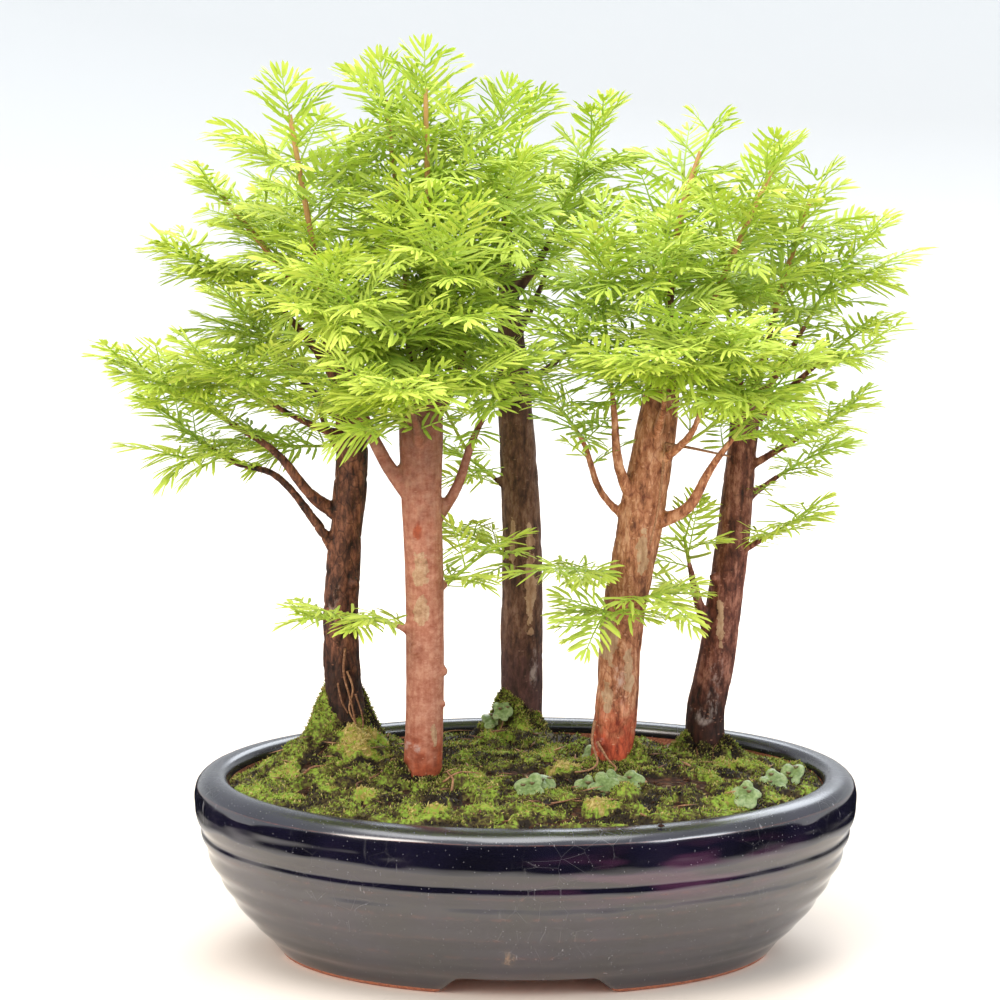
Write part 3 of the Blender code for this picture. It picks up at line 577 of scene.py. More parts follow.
# Rows down the soil's sides: half-width and height in millimetres
SOIL_SIDES = ((115.0, 52.0), (104.0, 20.0), (96.0, 14.3))
# Lumps in the earth: width, height, and where their pattern is cut, in millimetres
SOIL_LUMPS = ((5.0, 0.9, 0.0), (2.1, 0.6, 3.0))
CRUMBS = 900
CRUMB_SIZES = (0.5 * MM, 1.5 * MM)
CRUMB_SUNK = 0.3 * MM
CRUMB_FLATNESS = 0.75
# One crumb has fallen on the rim
LOST_CRUMB = (59 * MM, -85 * MM, TRAY_HEIGHT + 0.4 * MM)
LOST_CRUMB_SIZE = 1.3 * MM
# Mounds: centre, radius and height in millimetres
MOUNDS = (
    (-62, 12, 24, 14),
    (4, 66, 15, 9),
    (-12, -60, 26, 2),
    (70, -34, 30, 2),
)


def soil_level(x, y):
    """Height of the soil: crowned in the middle, higher in front, with mounds at two trees."""
    half_depth = SOIL_EDGE_HALF_WIDTH - OVAL_INSET
    out = math.hypot((x - TRAY_X) / SOIL_EDGE_HALF_WIDTH, y / half_depth)
    edge = SOIL_EDGE - SOIL_TILT * y / half_depth
    level = SOIL_CENTRE - (SOIL_CENTRE - edge) * min(out, 1.0) ** 3
    fade = 1 - min(out, 1.0) ** 6
    for mound_x, mound_y, radius, height in MOUNDS:
        away = math.hypot(x - mound_x * MM, y - mound_y * MM) / (radius * MM)
        level += height * MM * math.exp(-away * away) * fade
    return level


def oval_grid(count):
    """A square grid of points pulled out to the soil's oval, and the loop round its edge."""
    points = []
    for row in range(count + 1):
        for column in range(count + 1):
            a, b = 2 * column / count - 1, 2 * row / count - 1
            far = max(abs(a), abs(b))
            turn = math.atan2(b, a)
            points.append(oval(SOIL_EDGE_HALF_WIDTH * far, turn))
    width = count + 1
    loop = list(range(count))
    loop += [count + width * i for i in range(count)]
    loop += [width * count + count - i for i in range(count)]
    loop += [width * (count - i) for i in range(count)]
    return points, loop


def grid_faces(count):
    width = count + 1
    return [
        (row * width + column, row * width + column + 1,
         (row + 1) * width + column + 1, (row + 1) * width + column)
        for row in range(count) for column in range(count)
    ]


def soil_lumps(x, y):
    """Height added to the soil by its crumbs and lumps."""
    return MM * sum(
        height * noise.noise(Vector((x, y, place * MM)) / (width * MM))
        for width, height, place in SOIL_LUMPS
    )


def earth_material():
    """Moist dark earth: brown-black to red-brown, quite matt and lumpy, with pale grit."""
    earth = new_material("dark_crumbly_earth")
    place = add_node(earth, "NewGeometry").outputs["Position"]
    lumps = add_node(earth, "TexNoise", {"Vector": place, "Scale": 1 / (2.4 * MM), "Detail": 3.0})
    colour = add_node(earth, "ValToRGB", {"Fac": lumps}, (
        (0.28, "#1A0F09"), (0.5, "#3A2317"), (0.66, "#573624"), (0.82, "#7A543B"),
    ))
    grit = add_node(earth, "TexVoronoi", {"Vector": place, "Scale": 1 / (1.5 * MM)})
    chosen = add_node(earth, "SeparateColor", {0: grit.outputs["Color"]})
    pale = add_node(earth, "MapRange", {0: chosen, 1: 0.9, 2: 0.97, 4: 0.5})
    gritty = add_node(earth, "MixRGB", {"Fac": pale, "Color1": colour, "Color2": linear("#8C7A60")})
    bump = add_node(earth, "Bump", {"Height": lumps, "Strength": 0.9, "Distance": 0.6 * MM})
    shader = add_node(earth, "BsdfPrincipled", {
        "Base Color": gritty, "Roughness": 0.92, "Specular IOR Level": 0.25, "Normal": bump,
    })
    add_node(earth, "OutputMaterial", {"Surface": shader})
    return earth


def any_place(chance, share):
    """A random place within a share of the soil's oval."""
    turn = chance.uniform(0, 2 * math.pi)
    return oval(SOIL_EDGE_HALF_WIDTH * share * math.sqrt(chance.random()), turn)


def crumb(build, place, size, chance):
    """One crumb: an uneven eight-sided lump."""
    corners = []
    for x, y, z in ((1, 0, 0), (0, 1, 0), (-1, 0, 0), (0, -1, 0), (0, 0, 1), (0, 0, -1)):
        reach = size * chance.uniform(0.6, 1.15)
        high = z * reach * CRUMB_FLATNESS
        corners.append((place[0] + x * reach, place[1] + y * reach, place[2] + high))
    faces = [(0, 1, 4), (1, 2, 4), (2, 3, 4), (3, 0, 4), (1, 0, 5), (2, 1, 5), (3, 2, 5), (0, 3, 5)]
    build.add(corners, faces, chance.random())


def make_soil():
    build = Build()
    points, loop = oval_grid(SOIL_GRID)
    top = [(x, y, soil_level(x, y) + soil_lumps(x, y)) for x, y in points]
    build.add(top, grid_faces(SOIL_GRID))
    rings = [loop]
    for radius, height in SOIL_SIDES:
        ring = []
        for index in loop:
            x, y = points[index]
            turn = math.atan2(y, x - TRAY_X)
            ring.append((*oval(radius * MM, turn), height * MM))
        start = build.count
        build.add(ring, [])
        rings.append([start + i for i in range(len(ring))])
    walls = []
    for high, low in zip(rings, rings[1:]):
        for side in range(len(high)):
            after = (side + 1) % len(high)
            walls.append((low[side], low[after], high[after], high[side]))
    walls.append(tuple(reversed(rings[-1])))
    build.join(walls)
    soil = build.piece("potting_soil", [earth_material()])
    fit(soil, "soil", "soil")

    chance = random.Random(11)
    build = Build()
    while build.count < CRUMBS * 6:
        x, y = any_place(chance, 0.98)
        z = soil_level(x, y) + soil_lumps(x, y)
        crumb(build, (x, y, z + CRUMB_SUNK), chance.uniform(*CRUMB_SIZES), chance)
    crumb(build, LOST_CRUMB, LOST_CRUMB_SIZE, chance)
    crumbs = build.piece("soil_crumbs", [soil.data.materials[0]], smooth=False)
    fit(crumbs, "soil")


make_soil()


# Moss. A carpet of low cushions, grown, not laid: thousands of leafy tips up to 1.5 mm long
# stand on it, bright, olive or dried to gold. It climbs the trees' feet, high up on two.
MOSS_GRID = 180
MOSS_COARSE = 30
MOSS_THICKNESS = 3.2 * MM
MOSS_SUNK = 0.9 * MM
MOSS_ROOTED = 1.6 * MM
DOME = 2.4 * MM
CUSHION_SIZE = 6.5 * MM
CUSHION_RISE = 1.6 * MM
TUFT_SIZE = 2.6 * MM
TUFT_DIP = 0.9 * MM
SWELL_SIZE = 9 * MM
SWELL_RISE = 1.3 * MM
MOSS_TIPS = 32000
# The share of the tips that carry a pale capsule, and its tone
CAPSULES = 0.16
CAPSULE_TONE = 1.2
TIPS_ON_CLIMBS = 0.28
TIP_LENGTHS = (0.4, 1.5)
TIP_WIDTHS = (0.34, 0.62)
TIP_ROOT = 0.5 * MM
TIP_LEAN = 0.5
THIRDS = (0, 2.094, 4.189)
# No tip grows where the moss is barer than this
TOO_BARE = 0.4
SLOPE_STEP = 0.6 * MM
# Bare places: centre, half-length and half-depth in millimetres
BARE_PLACES = (
    (66, -26, 15, 10), (-2, 56, 8, 4), (11, -14, 10, 8), (-44, -28, 5, 4), (-20, -62, 10, 4),
    (30, 40, 12, 7), (-30, 30, 10, 8), (95, 22, 9, 5),
)
# Where moss climbs: centre, radius and height above the carpet, in millimetres
CLIMBS = (
    (-68, 21, 7.5, 19), (-57, 21, 7.0, 18), (2, 67, 6.0, 14), (9, 62, 5.0, 5),
    (15, 66, 4.5, 6), (53, 4, 4.5, 9), (91, 32, 5.0, 8), (76, 32, 4.5, 5), (-40, -22, 4.5, 7),
    (83, 27, 5, 3.5), (-21, -17, 4, 2.0), (-30, -26, 4.5, 2.6), (46, -6, 6, 2.5), (36, 0, 4, 2.5),
    (-84, 6, 9, 4), (-16, -26, 6, 3.0), (47, -50, 8, 2.5), (100, -30, 8, 2),
)
# Cushions of other mosses: centre and radius in millimetres, and tone: 0.5 green, 0.9 gold
CUSHIONS = (
    (-56, 0, 11, 0.93), (-70, 16, 12, 0.6), (4, 62, 10, 0.42), (24, -12, 8, 1.0),
    (36, -60, 7, 0.9), (-84, -8, 8, 0.74), (-26, -66, 8, 0.8), (88, -46, 7, 0.66),
    (-17, -30, 8, 0.4), (48, -48, 7, 0.5), (-80, 4, 7, 0.5), (76, 36, 7, 0.46),
    (-96, -26, 9, 0.64), (100, 6, 8, 0.64), (-4, 44, 9, 0.68), (12, -66, 8, 0.6),
    (66, -52, 6, 0.56), (-52, -44, 7, 0.86), (-10, -52, 6, 0.5), (20, 18, 8, 0.72),
)


def moss_thickness(x, y):
    """Waves about 20 mm across, never thinner than three tenths of the full carpet."""
    wave = math.sin(x / (7.3 * MM) + 1.1) * math.sin(y / (6.1 * MM) + 0.4)
    wave += 0.6 * math.sin((x + 1.7 * y) / (11 * MM))
    return MOSS_THICKNESS * (0.75 + 0.28 * wave)


def bareness(x, y):
    """1 where the soil is bare, 0 under full moss, with ragged edges between."""
    ragged = noise.noise(Vector((x, y, 9 * MM)) / (4 * MM)) * 0.35
    ragged += noise.noise(Vector((x, y, 5 * MM)) / (1.7 * MM)) * 0.2
    bare = 0.0
    for bare_x, bare_y, half_length, half_depth in BARE_PLACES:
        away = math.hypot((x / MM - bare_x) / half_length, (y / MM - bare_y) / half_depth)
        bare = max(bare, 1.15 - away + ragged)
    patchy = noise.noise(Vector((x, y, 1 * MM)) / (8 * MM)) - 0.24 + 0.7 * ragged
    bare = max(bare, patchy * 3)
    for climb_x, climb_y, radius, _ in CLIMBS:
        away = math.hypot(x / MM - climb_x, y / MM - climb_y) / radius
        bare = min(bare, away - 0.9 + ragged)
    return min(1.0, max(0.0, bare * 4))


def cushion(x, y):
    """The cushion that a place belongs to: how near its middle it is, and a number for it."""
    distances, centres = noise.voronoi(Vector((x, y, 0.0)) / CUSHION_SIZE)
    near = max(0.0, 1 - distances[0])
    return near, noise.cell(centres[0] * 7.3)


def moss_level(x, y):
    """Height of the moss's green surface."""
    near, number = cushion(x, y)
    fine = noise.voronoi(Vector((x, y, 4 * MM)) / TUFT_SIZE)[0][0]
    level = soil_level(x, y) + CLEARANCE
    level += moss_thickness(x, y) * (0.45 + 0.6 * near ** 0.7)
    level += CUSHION_RISE * number * near - TUFT_DIP * fine
    level += SWELL_RISE * noise.noise(Vector((x, y, 12 * MM)) / SWELL_SIZE)
    for climb_x, climb_y, radius, height in CLIMBS:
        away = math.hypot(x / MM - climb_x, y / MM - climb_y) / radius
        if away < 2.5:
            level += height * MM * math.exp(-away * away)
    for middle_x, middle_y, radius, _ in CUSHIONS:
        away = math.hypot(x / MM - middle_x, y / MM - middle_y) / radius
        if away < 1:
            level += DOME * (1 - away * away) ** 0.7
    bare = bareness(x, y)
    return level * (1 - bare) + (soil_level(x, y) - MOSS_SUNK) * bare


def moss_tone(x, y):
    """Colour of the moss at a place: 0 dark, 0.5 bright green, 1 dried to gold."""
    _, number = cushion(x, y)
    tone = 0.26 + 0.26 * number + 0.36 * noise.noise(Vector((x, y, 2 * MM)) / (15 * MM))
    tone += 0.16 * noise.noise(Vector((x, y, 8 * MM)) / (3 * MM))
    for middle_x, middle_y, radius, hue in CUSHIONS:
        away = math.hypot(x / MM - middle_x, y / MM - middle_y) / radius
        away += 0.6 * noise.noise(Vector((x, y, 6 * MM)) / (4 * MM))
        tone += (hue - tone) * 0.85 * min(1.0, max(0.0, (1.1 - away) * 2.0))
    return tone


def mottled(material, size, detail, shift, stops):
    """Colours read from each point's tone, shifted up and down by a grain, and that grain."""
    place = add_node(material, "NewGeometry").outputs["Position"]
    tone = add_node(material, "Attribute", attribute_name="tone").outputs["Fac"]
    grain = add_node(material, "TexNoise", {"Vector": place, "Scale": 1 / size, "Detail": detail})
    change = add_node(material, "MapRange", {0: grain, 1: 0.3, 2: 0.7, 3: -shift, 4: shift})
    changed = add_node(material, "Math", {0: tone, 1: change}, operation="ADD")
    return add_node(material, "ValToRGB", {"Fac": changed}, stops), grain


def moss_material():
    """Living moss: matt and soft, bright green tips over darker stems, gold where it is dry."""
    green = new_material("soft_living_moss")
    colour, _ = mottled(green, 1.6 * MM, 2.0, 0.2, (
        (0.0, "#22180D"), (0.18, "#443619"), (0.34, "#636226"), (0.52, "#86A235"),
        (0.7, "#978440"), (1.0, "#CDB87A"),
    ))
    shader = add_node(green, "BsdfPrincipled", {
        "Base Color": colour, "Roughness": 0.75, "Specular IOR Level": 0.3,
    })
    add_node(green, "OutputMaterial", {"Surface": shader})
    return green


def make_moss_tips(green):
    """Thousands of leafy tips: three-sided spikes that lean outwards from their cushion."""
    chance = random.Random(5)
    build = Build()
    wanted = MOSS_TIPS
    made = 0
    while made < wanted:
        x, y = any_place(chance, 0.995)
        if chance.random() < TIPS_ON_CLIMBS:
            climb = chance.choice(CLIMBS[:4] + CLIMBS[:13])
            x = (climb[0] + chance.gauss(0, 0.75) * climb[2]) * MM
            y = (climb[1] + chance.gauss(0, 0.75) * climb[2]) * MM
        if bareness(x, y) > TOO_BARE:
            continue
        z = moss_level(x, y)
        slope_x = (moss_level(x + SLOPE_STEP, y) - z) / SLOPE_STEP
        slope_y = (moss_level(x, y + SLOPE_STEP) - z) / SLOPE_STEP
        out = Vector((-slope_x * 0.7, -slope_y * 0.7, 1.0)).normalized()
        lean = Vector((chance.gauss(0, TIP_LEAN), chance.gauss(0, TIP_LEAN), 0.0))
        along = (out + lean).normalized()
        across = along.orthogonal().normalized()
        other = along.cross(across)
        length = chance.uniform(*TIP_LENGTHS) * MM
        width = chance.uniform(*TIP_WIDTHS) * MM
        base = Vector((x, y, z)) - along * TIP_ROOT
        spin = chance.uniform(0, 2)
        foot = [
            base + (across * math.cos(spin + turn) + other * math.sin(spin + turn)) * width
            for turn in THIRDS
        ]
        tone = moss_tone(x, y) + chance.gauss(0, 0.12)
        top = CAPSULE_TONE if chance.random() < CAPSULES else tone + 0.16
        build.add(
            foot + [base + along * (length + TIP_ROOT)],
            [(0, 1, 3), (1, 2, 3), (2, 0, 3), (2, 1, 0)],
            (tone - 0.2, tone - 0.2, tone - 0.2, top),
        )
        made += 1
    tips = build.piece("moss_tips", [green], smooth=False)
    fit(tips, "moss")


def make_moss():
    green = moss_material()
    build = Build()
    points, loop = oval_grid(MOSS_GRID)
    top = [(x, y, moss_level(x, y)) for x, y in points]
    build.add(top, grid_faces(MOSS_GRID), [moss_tone(x, y) - 0.1 for x, y in points])
    coarse, coarse_loop = oval_grid(MOSS_COARSE)
    start = build.count
    build.add(
        [(x, y, soil_level(x, y) - MOSS_ROOTED) for x, y in coarse],
        [tuple(reversed(face)) for face in grid_faces(MOSS_COARSE)],
    )
    # The fine edge above meets the coarse edge below in fans
    split = MOSS_GRID // MOSS_COARSE
    edge = []
    for side, low in enumerate(coarse_loop):
        after = coarse_loop[(side + 1) % len(coarse_loop)]
        highs = [loop[(side * split + step) % len(loop)] for step in range(split + 1)]
        half = split // 2
        for step in range(split):
            foot = low if step < half else after
            edge.append((start + foot, highs[step + 1], highs[step]))
        edge.append((start + low, start + after, highs[half]))
    build.join(edge)
    moss = build.piece("moss_carpet", [green])
    fit(moss, "moss", "moss")
    make_moss_tips(green)


make_moss()


# Trees. Five trunks with their branches, cut back often. Young wood is smooth and red-brown; old
# bark is rough, flakes off in upright strips and is darker, with an orange-red foot.
# Trunk axes as (x, y, z, radius) in millimetres, from the buried end upwards
TRUNKS = {
    "left": (
        (-60, 18, 52, 7.8), (-60, 18, 84, 7.6), (-62, 18, 100, 7.3), (-63, 18, 128, 6.9),
        (-61, 18, 160, 6.4), (-58, 18, 196, 6.1), (-61, 18, 221, 5.5), (-66, 17, 241, 3.9),
        (-69, 16, 252, 2.6),
    ),
    "front": (
        (-30, -17, 44, 7.8), (-30, -17, 72, 7.5), (-29, -17, 103, 7.3), (-29, -17, 150, 7.4),
        (-30, -17, 185, 7.8), (-30, -17, 209, 8.4), (-30, -17, 226, 7.2),
    ),
    "back": (
        (9, 70, 46, 8.6), (9, 70, 74, 8.4), (9, 70, 109, 8.7), (9, 70, 150, 8.0),
        (7, 70, 192, 7.4), (5, 69, 225, 6.1), (3, 67, 258, 3.6), (2, 65, 284, 2.2),
    ),
    "middle": (
        (44, 5, 44, 8.8), (44, 5, 71, 8.5), (46, 5, 98, 8.3), (48, 5, 130, 8.2),
        (52, 5, 154, 8.7), (56, 5, 178, 8.6), (60, 5, 202, 7.8), (63, 5, 224, 7.0),
    ),
    "right": (
        (83, 36, 44, 8.3), (83, 36, 71, 8.1), (83, 36, 87, 7.7), (87, 36, 108, 7.4),
        (90, 36, 132, 7.1), (93, 36, 157, 6.6), (96, 37, 189, 6.0), (98, 38, 212, 5.6),
    ),
}

# Limbs: height where the limb leaves the trunk's axis, its radius there, the length of it
# that is wood, the points that it passes, and the tip of its last needle, in millimetres
LIMBS = {
    "left": (
        (168, 2.7, 62, ((-74, 12, 179), (-86, 8, 195), (-101, 6, 206)), (-158, -8, 243)),
        (150, 2.0, 84, ((-73, 13, 169), (-88, 16, 186), (-109, 20, 193)), (-146, 30, 221)),
        (222, 2.6, 40, ((-80, 15, 246), (-92, 15, 257)), (-141, 20, 281)),
        (240, 2.4, 36, ((-84, 6, 268),), (-121, 2, 314)),
        (200, 1.8, 44, ((-82, -6, 214),), (-122, -48, 248)),
        (205, 1.9, 48, ((-80, 40, 222),), (-120, 66, 262)),
        (232, 2.2, 46, ((-72, 40, 262),), (-92, 74, 304)),
        (188, 1.6, 40, ((-72, 48, 208),), (-70, 100, 236)),
    ),
    "front": (
        (178, 3.2, 88, ((-43, -20, 196), (-54, -22, 220), (-64, -22, 246)), (-82, -24, 350)),
        (214, 3.4, 44, ((-34, -16, 240), (-37, -12, 282)), (-46, -6, 355)),
        (218, 3.0, 36, ((-27, -24, 246), (-27, -25, 296)), (-28, -27, 360)),
        (210, 3.6, 34, ((-18, -12, 226), (-8, -14, 262)), (4, -18, 346)),
        (212, 2.6, 34, ((-40, -44, 236),), (-66, -92, 286)),
        (200, 2.4, 40, ((-32, -46, 218),), (-36, -116, 240)),
        (168, 2.7, 58, ((-17, -14, 185), (-9, -18, 208)), (10, -74, 250)),
        (216, 2.4, 30, ((-24, -44, 250),), (-10, -84, 306)),
        (128, 1.9, 12, ((-48, -22, 136),), (-88, -30, 141)),
        (142, 1.6, 11, ((-14, -14, 154),), (12, -22, 177)),
    ),
    "back": (
        (276, 2.0, 20, ((4, 60, 300),), (16, 46, 343)),
        (250, 2.4, 34, ((20, 62, 274),), (46, 56, 338)),
        (240, 2.2, 36, ((-10, 84, 264),), (-24, 106, 322)),
        (232, 2.2, 36, ((18, 90, 256),), (34, 110, 306)),
        (205, 2.0, 36, ((-14, 90, 222),), (-36, 110, 258)),
        (212, 2.0, 36, ((28, 90, 226),), (54, 108, 250)),
        (168, 1.7, 14, ((-8, 64, 182),), (-33, 50, 202)),
        (138, 1.6, 12, ((-2, 56, 150),), (-24, 36, 166)),
    ),
    "middle": (
        (220, 3.2, 46, ((65, 6, 246), (69, 4, 288)), (84, 4, 334)),
        (216, 2.6, 40, ((74, 4, 236), (90, 0, 276)), (112, -6, 326)),
        (172, 2.8, 56, ((46, -4, 192), (43, -12, 220)), (34, -50, 296)),
        (166, 1.7, 50, ((39, 2, 182), (31, -4, 204)), (12, -36, 232)),
        (168, 3.0, 58, ((72, -4, 176), (84, -12, 198)), (118, -50, 250)),
        (190, 2.2, 44, ((72, -16, 206), (78, -34, 226)), (88, -88, 262)),
        (200, 2.4, 36, ((62, -26, 222),), (56, -98, 252)),
        (218, 2.2, 32, ((60, -22, 252),), (62, -66, 304)),
        (144, 1.6, 12, ((32, -4, 152),), (-2, -20, 157)),
        (130, 1.6, 12, ((40, -20, 138),), (30, -50, 131)),
        (134, 1.6, 12, ((60, -16, 144),), (78, -45, 139)),
    ),
    "right": (
        (206, 2.6, 44, ((104, 38, 228), (112, 34, 262)), (128, 28, 314)),
        (204, 2.2, 46, ((112, 34, 228), (128, 26, 258)), (152, 16, 294)),
        (200, 2.0, 42, ((120, 38, 222),), (158, 36, 254)),
        (184, 1.8, 36, ((112, 26, 196),), (147, 4, 222)),
        (170, 1.7, 32, ((112, 42, 182),), (146, 50, 201)),
        (150, 1.6, 28, ((106, 26, 160),), (128, 0, 180)),
        (202, 2.2, 44, ((108, 62, 228),), (132, 92, 268)),
        (206, 2.4, 46, ((92, 60, 244),), (88, 100, 300)),
        (112, 3.2, 40, ((80, 32, 130), (75, 28, 150)), (68, -2, 184)),
    ),
}
WOOD_GRAIN = 0.9 * MM
TRUNK_SIDES = 28
TRUNK_ROWS = 90
# A cut trunk's top is rounded off over its last rows
TRUNK_TOP = (0.55, 0.82, 0.95)
WOOD_SIDES = 20
COLLAR = 0.35
COLLAR_LENGTH = 9
# A stub's radius at five places along it, as shares of the radius at its tip
STUB_TAPER = (1.5, 1.35, 1.2, 1.05, 0.7)
STUB_SIDES = 12
TWIG_TIP_RADIUS = 1.0 * MM
SPRAY_LENGTH = 31.8 * MM
# The share of the last spray that lies past the end of the stem
PAST_STEM = 0.97
SHORTEST_STEM = 10
# Stubs, knobs and snags: tree, height on the axis, tip and radius at the tip, in millimetres
STUBS = (
    ("front", 113, (-20.6, -20, 116), 2.2), ("front", 124, (-33, -24.6, 125), 2.6),
    ("front", 101, (-21.0, -20, 102.5), 1.3), ("front", 86, (-36.6, -20, 87.5), 1.5),
    ("front", 84, (-33, -23.8, 86), 1.4), ("front", 222, (-33, -19, 230), 3.4),
    ("front", 222, (-26, -15, 231), 3.2), ("middle", 80, (39, -2.2, 82), 1.9),
    ("middle", 119, (47, -4.2, 121), 2.6), ("middle", 222, (60, 3, 229), 3.0),
    ("middle", 168, (64, -2, 171), 2.2), ("back", 112, (10, 61, 113), 2.2),
    ("left", 142, (-56, 11.5, 144), 2.0), ("left", 190, (-53, 14, 194), 2.2),
    ("right", 140, (84, 30, 143), 2.0), ("right", 208, (100, 36, 217), 3.0),
)
# Coloured marks on the bark: tree, (x, z) as seen from the front, half-width and half-height,
# in millimetres, and kind: 0 a tan flake, 1 the colour of the tree's foot, 2 pale lichen
MARKS = (
    ("front", (-30.8, 155.7), (3.0, 7.0), 0), ("front", (-30.5, 139.7), (2.8, 6.6), 0),
    ("front", (-31.3, 170.7), (1.9, 3.2), 1), ("front", (-35.8, 86.9), (1.8, 2.0), 2),
    ("front", (-32.1, 85.5), (1.6, 1.8), 2), ("front", (-25.5, 92), (1.2, 5.0), 0),
    ("middle", (39.4, 81.6), (2.4, 2.6), 2), ("middle", (42, 124), (4.0, 9), 0),
    ("middle", (50, 112), (2.0, 10), 0), ("middle", (42, 102), (2.2, 6), 0),
    ("middle", (55, 160), (2.4, 9), 0), ("middle", (47, 107), (2.6, 8), 2),
    ("left", (-64.6, 141.4), (2.2, 4.0), 2), ("left", (-66, 132), (1.4, 7), 2),
    ("right", (87.3, 103.9), (2.4, 5.4), 2), ("right", (85.4, 92.8), (2.4, 5.0), 2),
    ("right", (81.3, 86.6), (3.8, 4.0), 2), ("right", (88, 122), (1.6, 10.0), 0),
    ("back", (12.5, 134), (2.0, 20.0), 0), ("back", (14, 100), (1.5, 10.0), 2),
    ("back", (5, 150), (1.2, 12.0), 0),
)
# Each tree's bark: its dark, middle and pale colours, the dark and pale colours of its foot and
# how high the foot reaches, then the depth of the relief and the width of a plate, in mm
BARKS = {
    "left": ("#24140E", "#5F3725", "#905B40", "#15100D", "#523022", 116, 0.7, 4.0),
    "front": ("#97563F", "#AB6F58", "#BC876E", "#81381F", "#AE5331", 90, 0.16, 7.0),
    "back": ("#3C241A", "#66432F", "#886550", "#33201B", "#64403A", 110, 0.35, 4.5),
    "middle": ("#663824", "#AC6F4B", "#D29F7C", "#6E2413", "#CC5A38", 95, 0.5, 4.5),
    "right": ("#351910", "#6E3A2A", "#A56F5A", "#170D0B", "#4F291E", 98, 0.35, 5.0),
}
# Bark with less relief than this is smooth, and its colours aren't drawn out upwards
SMOOTH_BARK = 0.2
# Limbs have this share of the trunk's relief
LIMB_RELIEF = 0.25
FOOT_FADE = 16 * MM
FLAKE_LIFT = 0.25 * MM
# Colour of the painted shade that the crown casts on the upper bark
CROWN_SHADE_COLOUR = "#2E1610"
# Heights between which painted shade of the crown darkens the bark towards the top, in mm; two trees
# stay plain
CROWN_SHADE_HEIGHTS = {
    "left": (400, 500), "front": (155, 222), "back": (190, 230), "middle": (208, 238),
    "right": (400, 500),
}
CURVE_STEPS = 16


def spaced(points, count):
    """Points spaced evenly along a run of short straight pieces."""
    lengths = [0.0]
    for a, b in zip(points, points[1:]):
        lengths.append(lengths[-1] + (b - a).length)
    result = []
    place = 0
    for index in range(count):
        wanted = lengths[-1] * index / (count - 1)
        while place < len(lengths) - 2 and lengths[place + 1] < wanted:
            place += 1
        share = (wanted - lengths[place]) / (lengths[place + 1] - lengths[place])
        result.append(points[place].lerp(points[place + 1], share))
    return result


def smooth(points, count):
    """Points spaced evenly along a rounded curve through the given points."""
    fine = []
    padded = [points[0] * 2 - points[1]] + list(points) + [points[-1] * 2 - points[-2]]
    for a, b, c, d in zip(padded, padded[1:], padded[2:], padded[3:]):
        for step in range(CURVE_STEPS):
            t = step / CURVE_STEPS
            fine.append(0.5 * (
                2 * b + (c - a) * t + (2 * a - 5 * b + 4 * c - d) * t * t
                + (3 * b - a - 3 * c + d) * t * t * t
            ))
    fine.append(points[-1])
    return spaced(fine, count)


def trunk_point(tree, height):
    """The point of a trunk's axis at a height."""
    knots = TRUNKS[tree]
    for low, high in zip(knots, knots[1:]):
        if height <= high[2]:
            break
    share = (height - low[2]) / (high[2] - low[2])
    return Vector(low[:3]).lerp(Vector(high[:3]), share) * MM


def limb_parts(tree, limb):
    """A limb's wood and its green stem, as points 1 mm apart, and its last needle's tip."""
    height, _, wood_length, way, tip = limb
    points = [trunk_point(tree, height)] + [Vector(p) * MM for p in way] + [Vector(tip) * MM]
    length = sum((b - a).length for a, b in zip(points, points[1:]))
    path = smooth(points, max(8, round(length / MM)))
    stem_end = len(path) - round(SPRAY_LENGTH * PAST_STEM / MM)
    wood_end = min(wood_length, stem_end - SHORTEST_STEM)
    return path[:wood_end + 1], path[wood_end:stem_end], path[-1]


def tube_rings(points, radii, sides):
    """Rings of points round a path, each square to it and turned as little as can be."""
    rings = []
    across = None
    for index, (point, radius) in enumerate(zip(points, radii)):
        before, after = points[max(index - 1, 0)], points[min(index + 1, len(points) - 1)]
        along = (after - before).normalized()
        across = along.orthogonal() if across is None else across
        across = (across - along * across.dot(along)).normalized()
        other = along.cross(across)
        for turn in turns(sides):
            rings.append(point + (across * math.cos(turn) + other * math.sin(turn)) * radius)
    return rings


def add_tube(build, points, radii, sides, tones=0.0, finish=0):
    if not np.isscalar(tones):
        tones = np.repeat(tones, sides)
    build.add(tube_rings(points, radii, sides), ring_faces(len(points), sides), tones, finish)


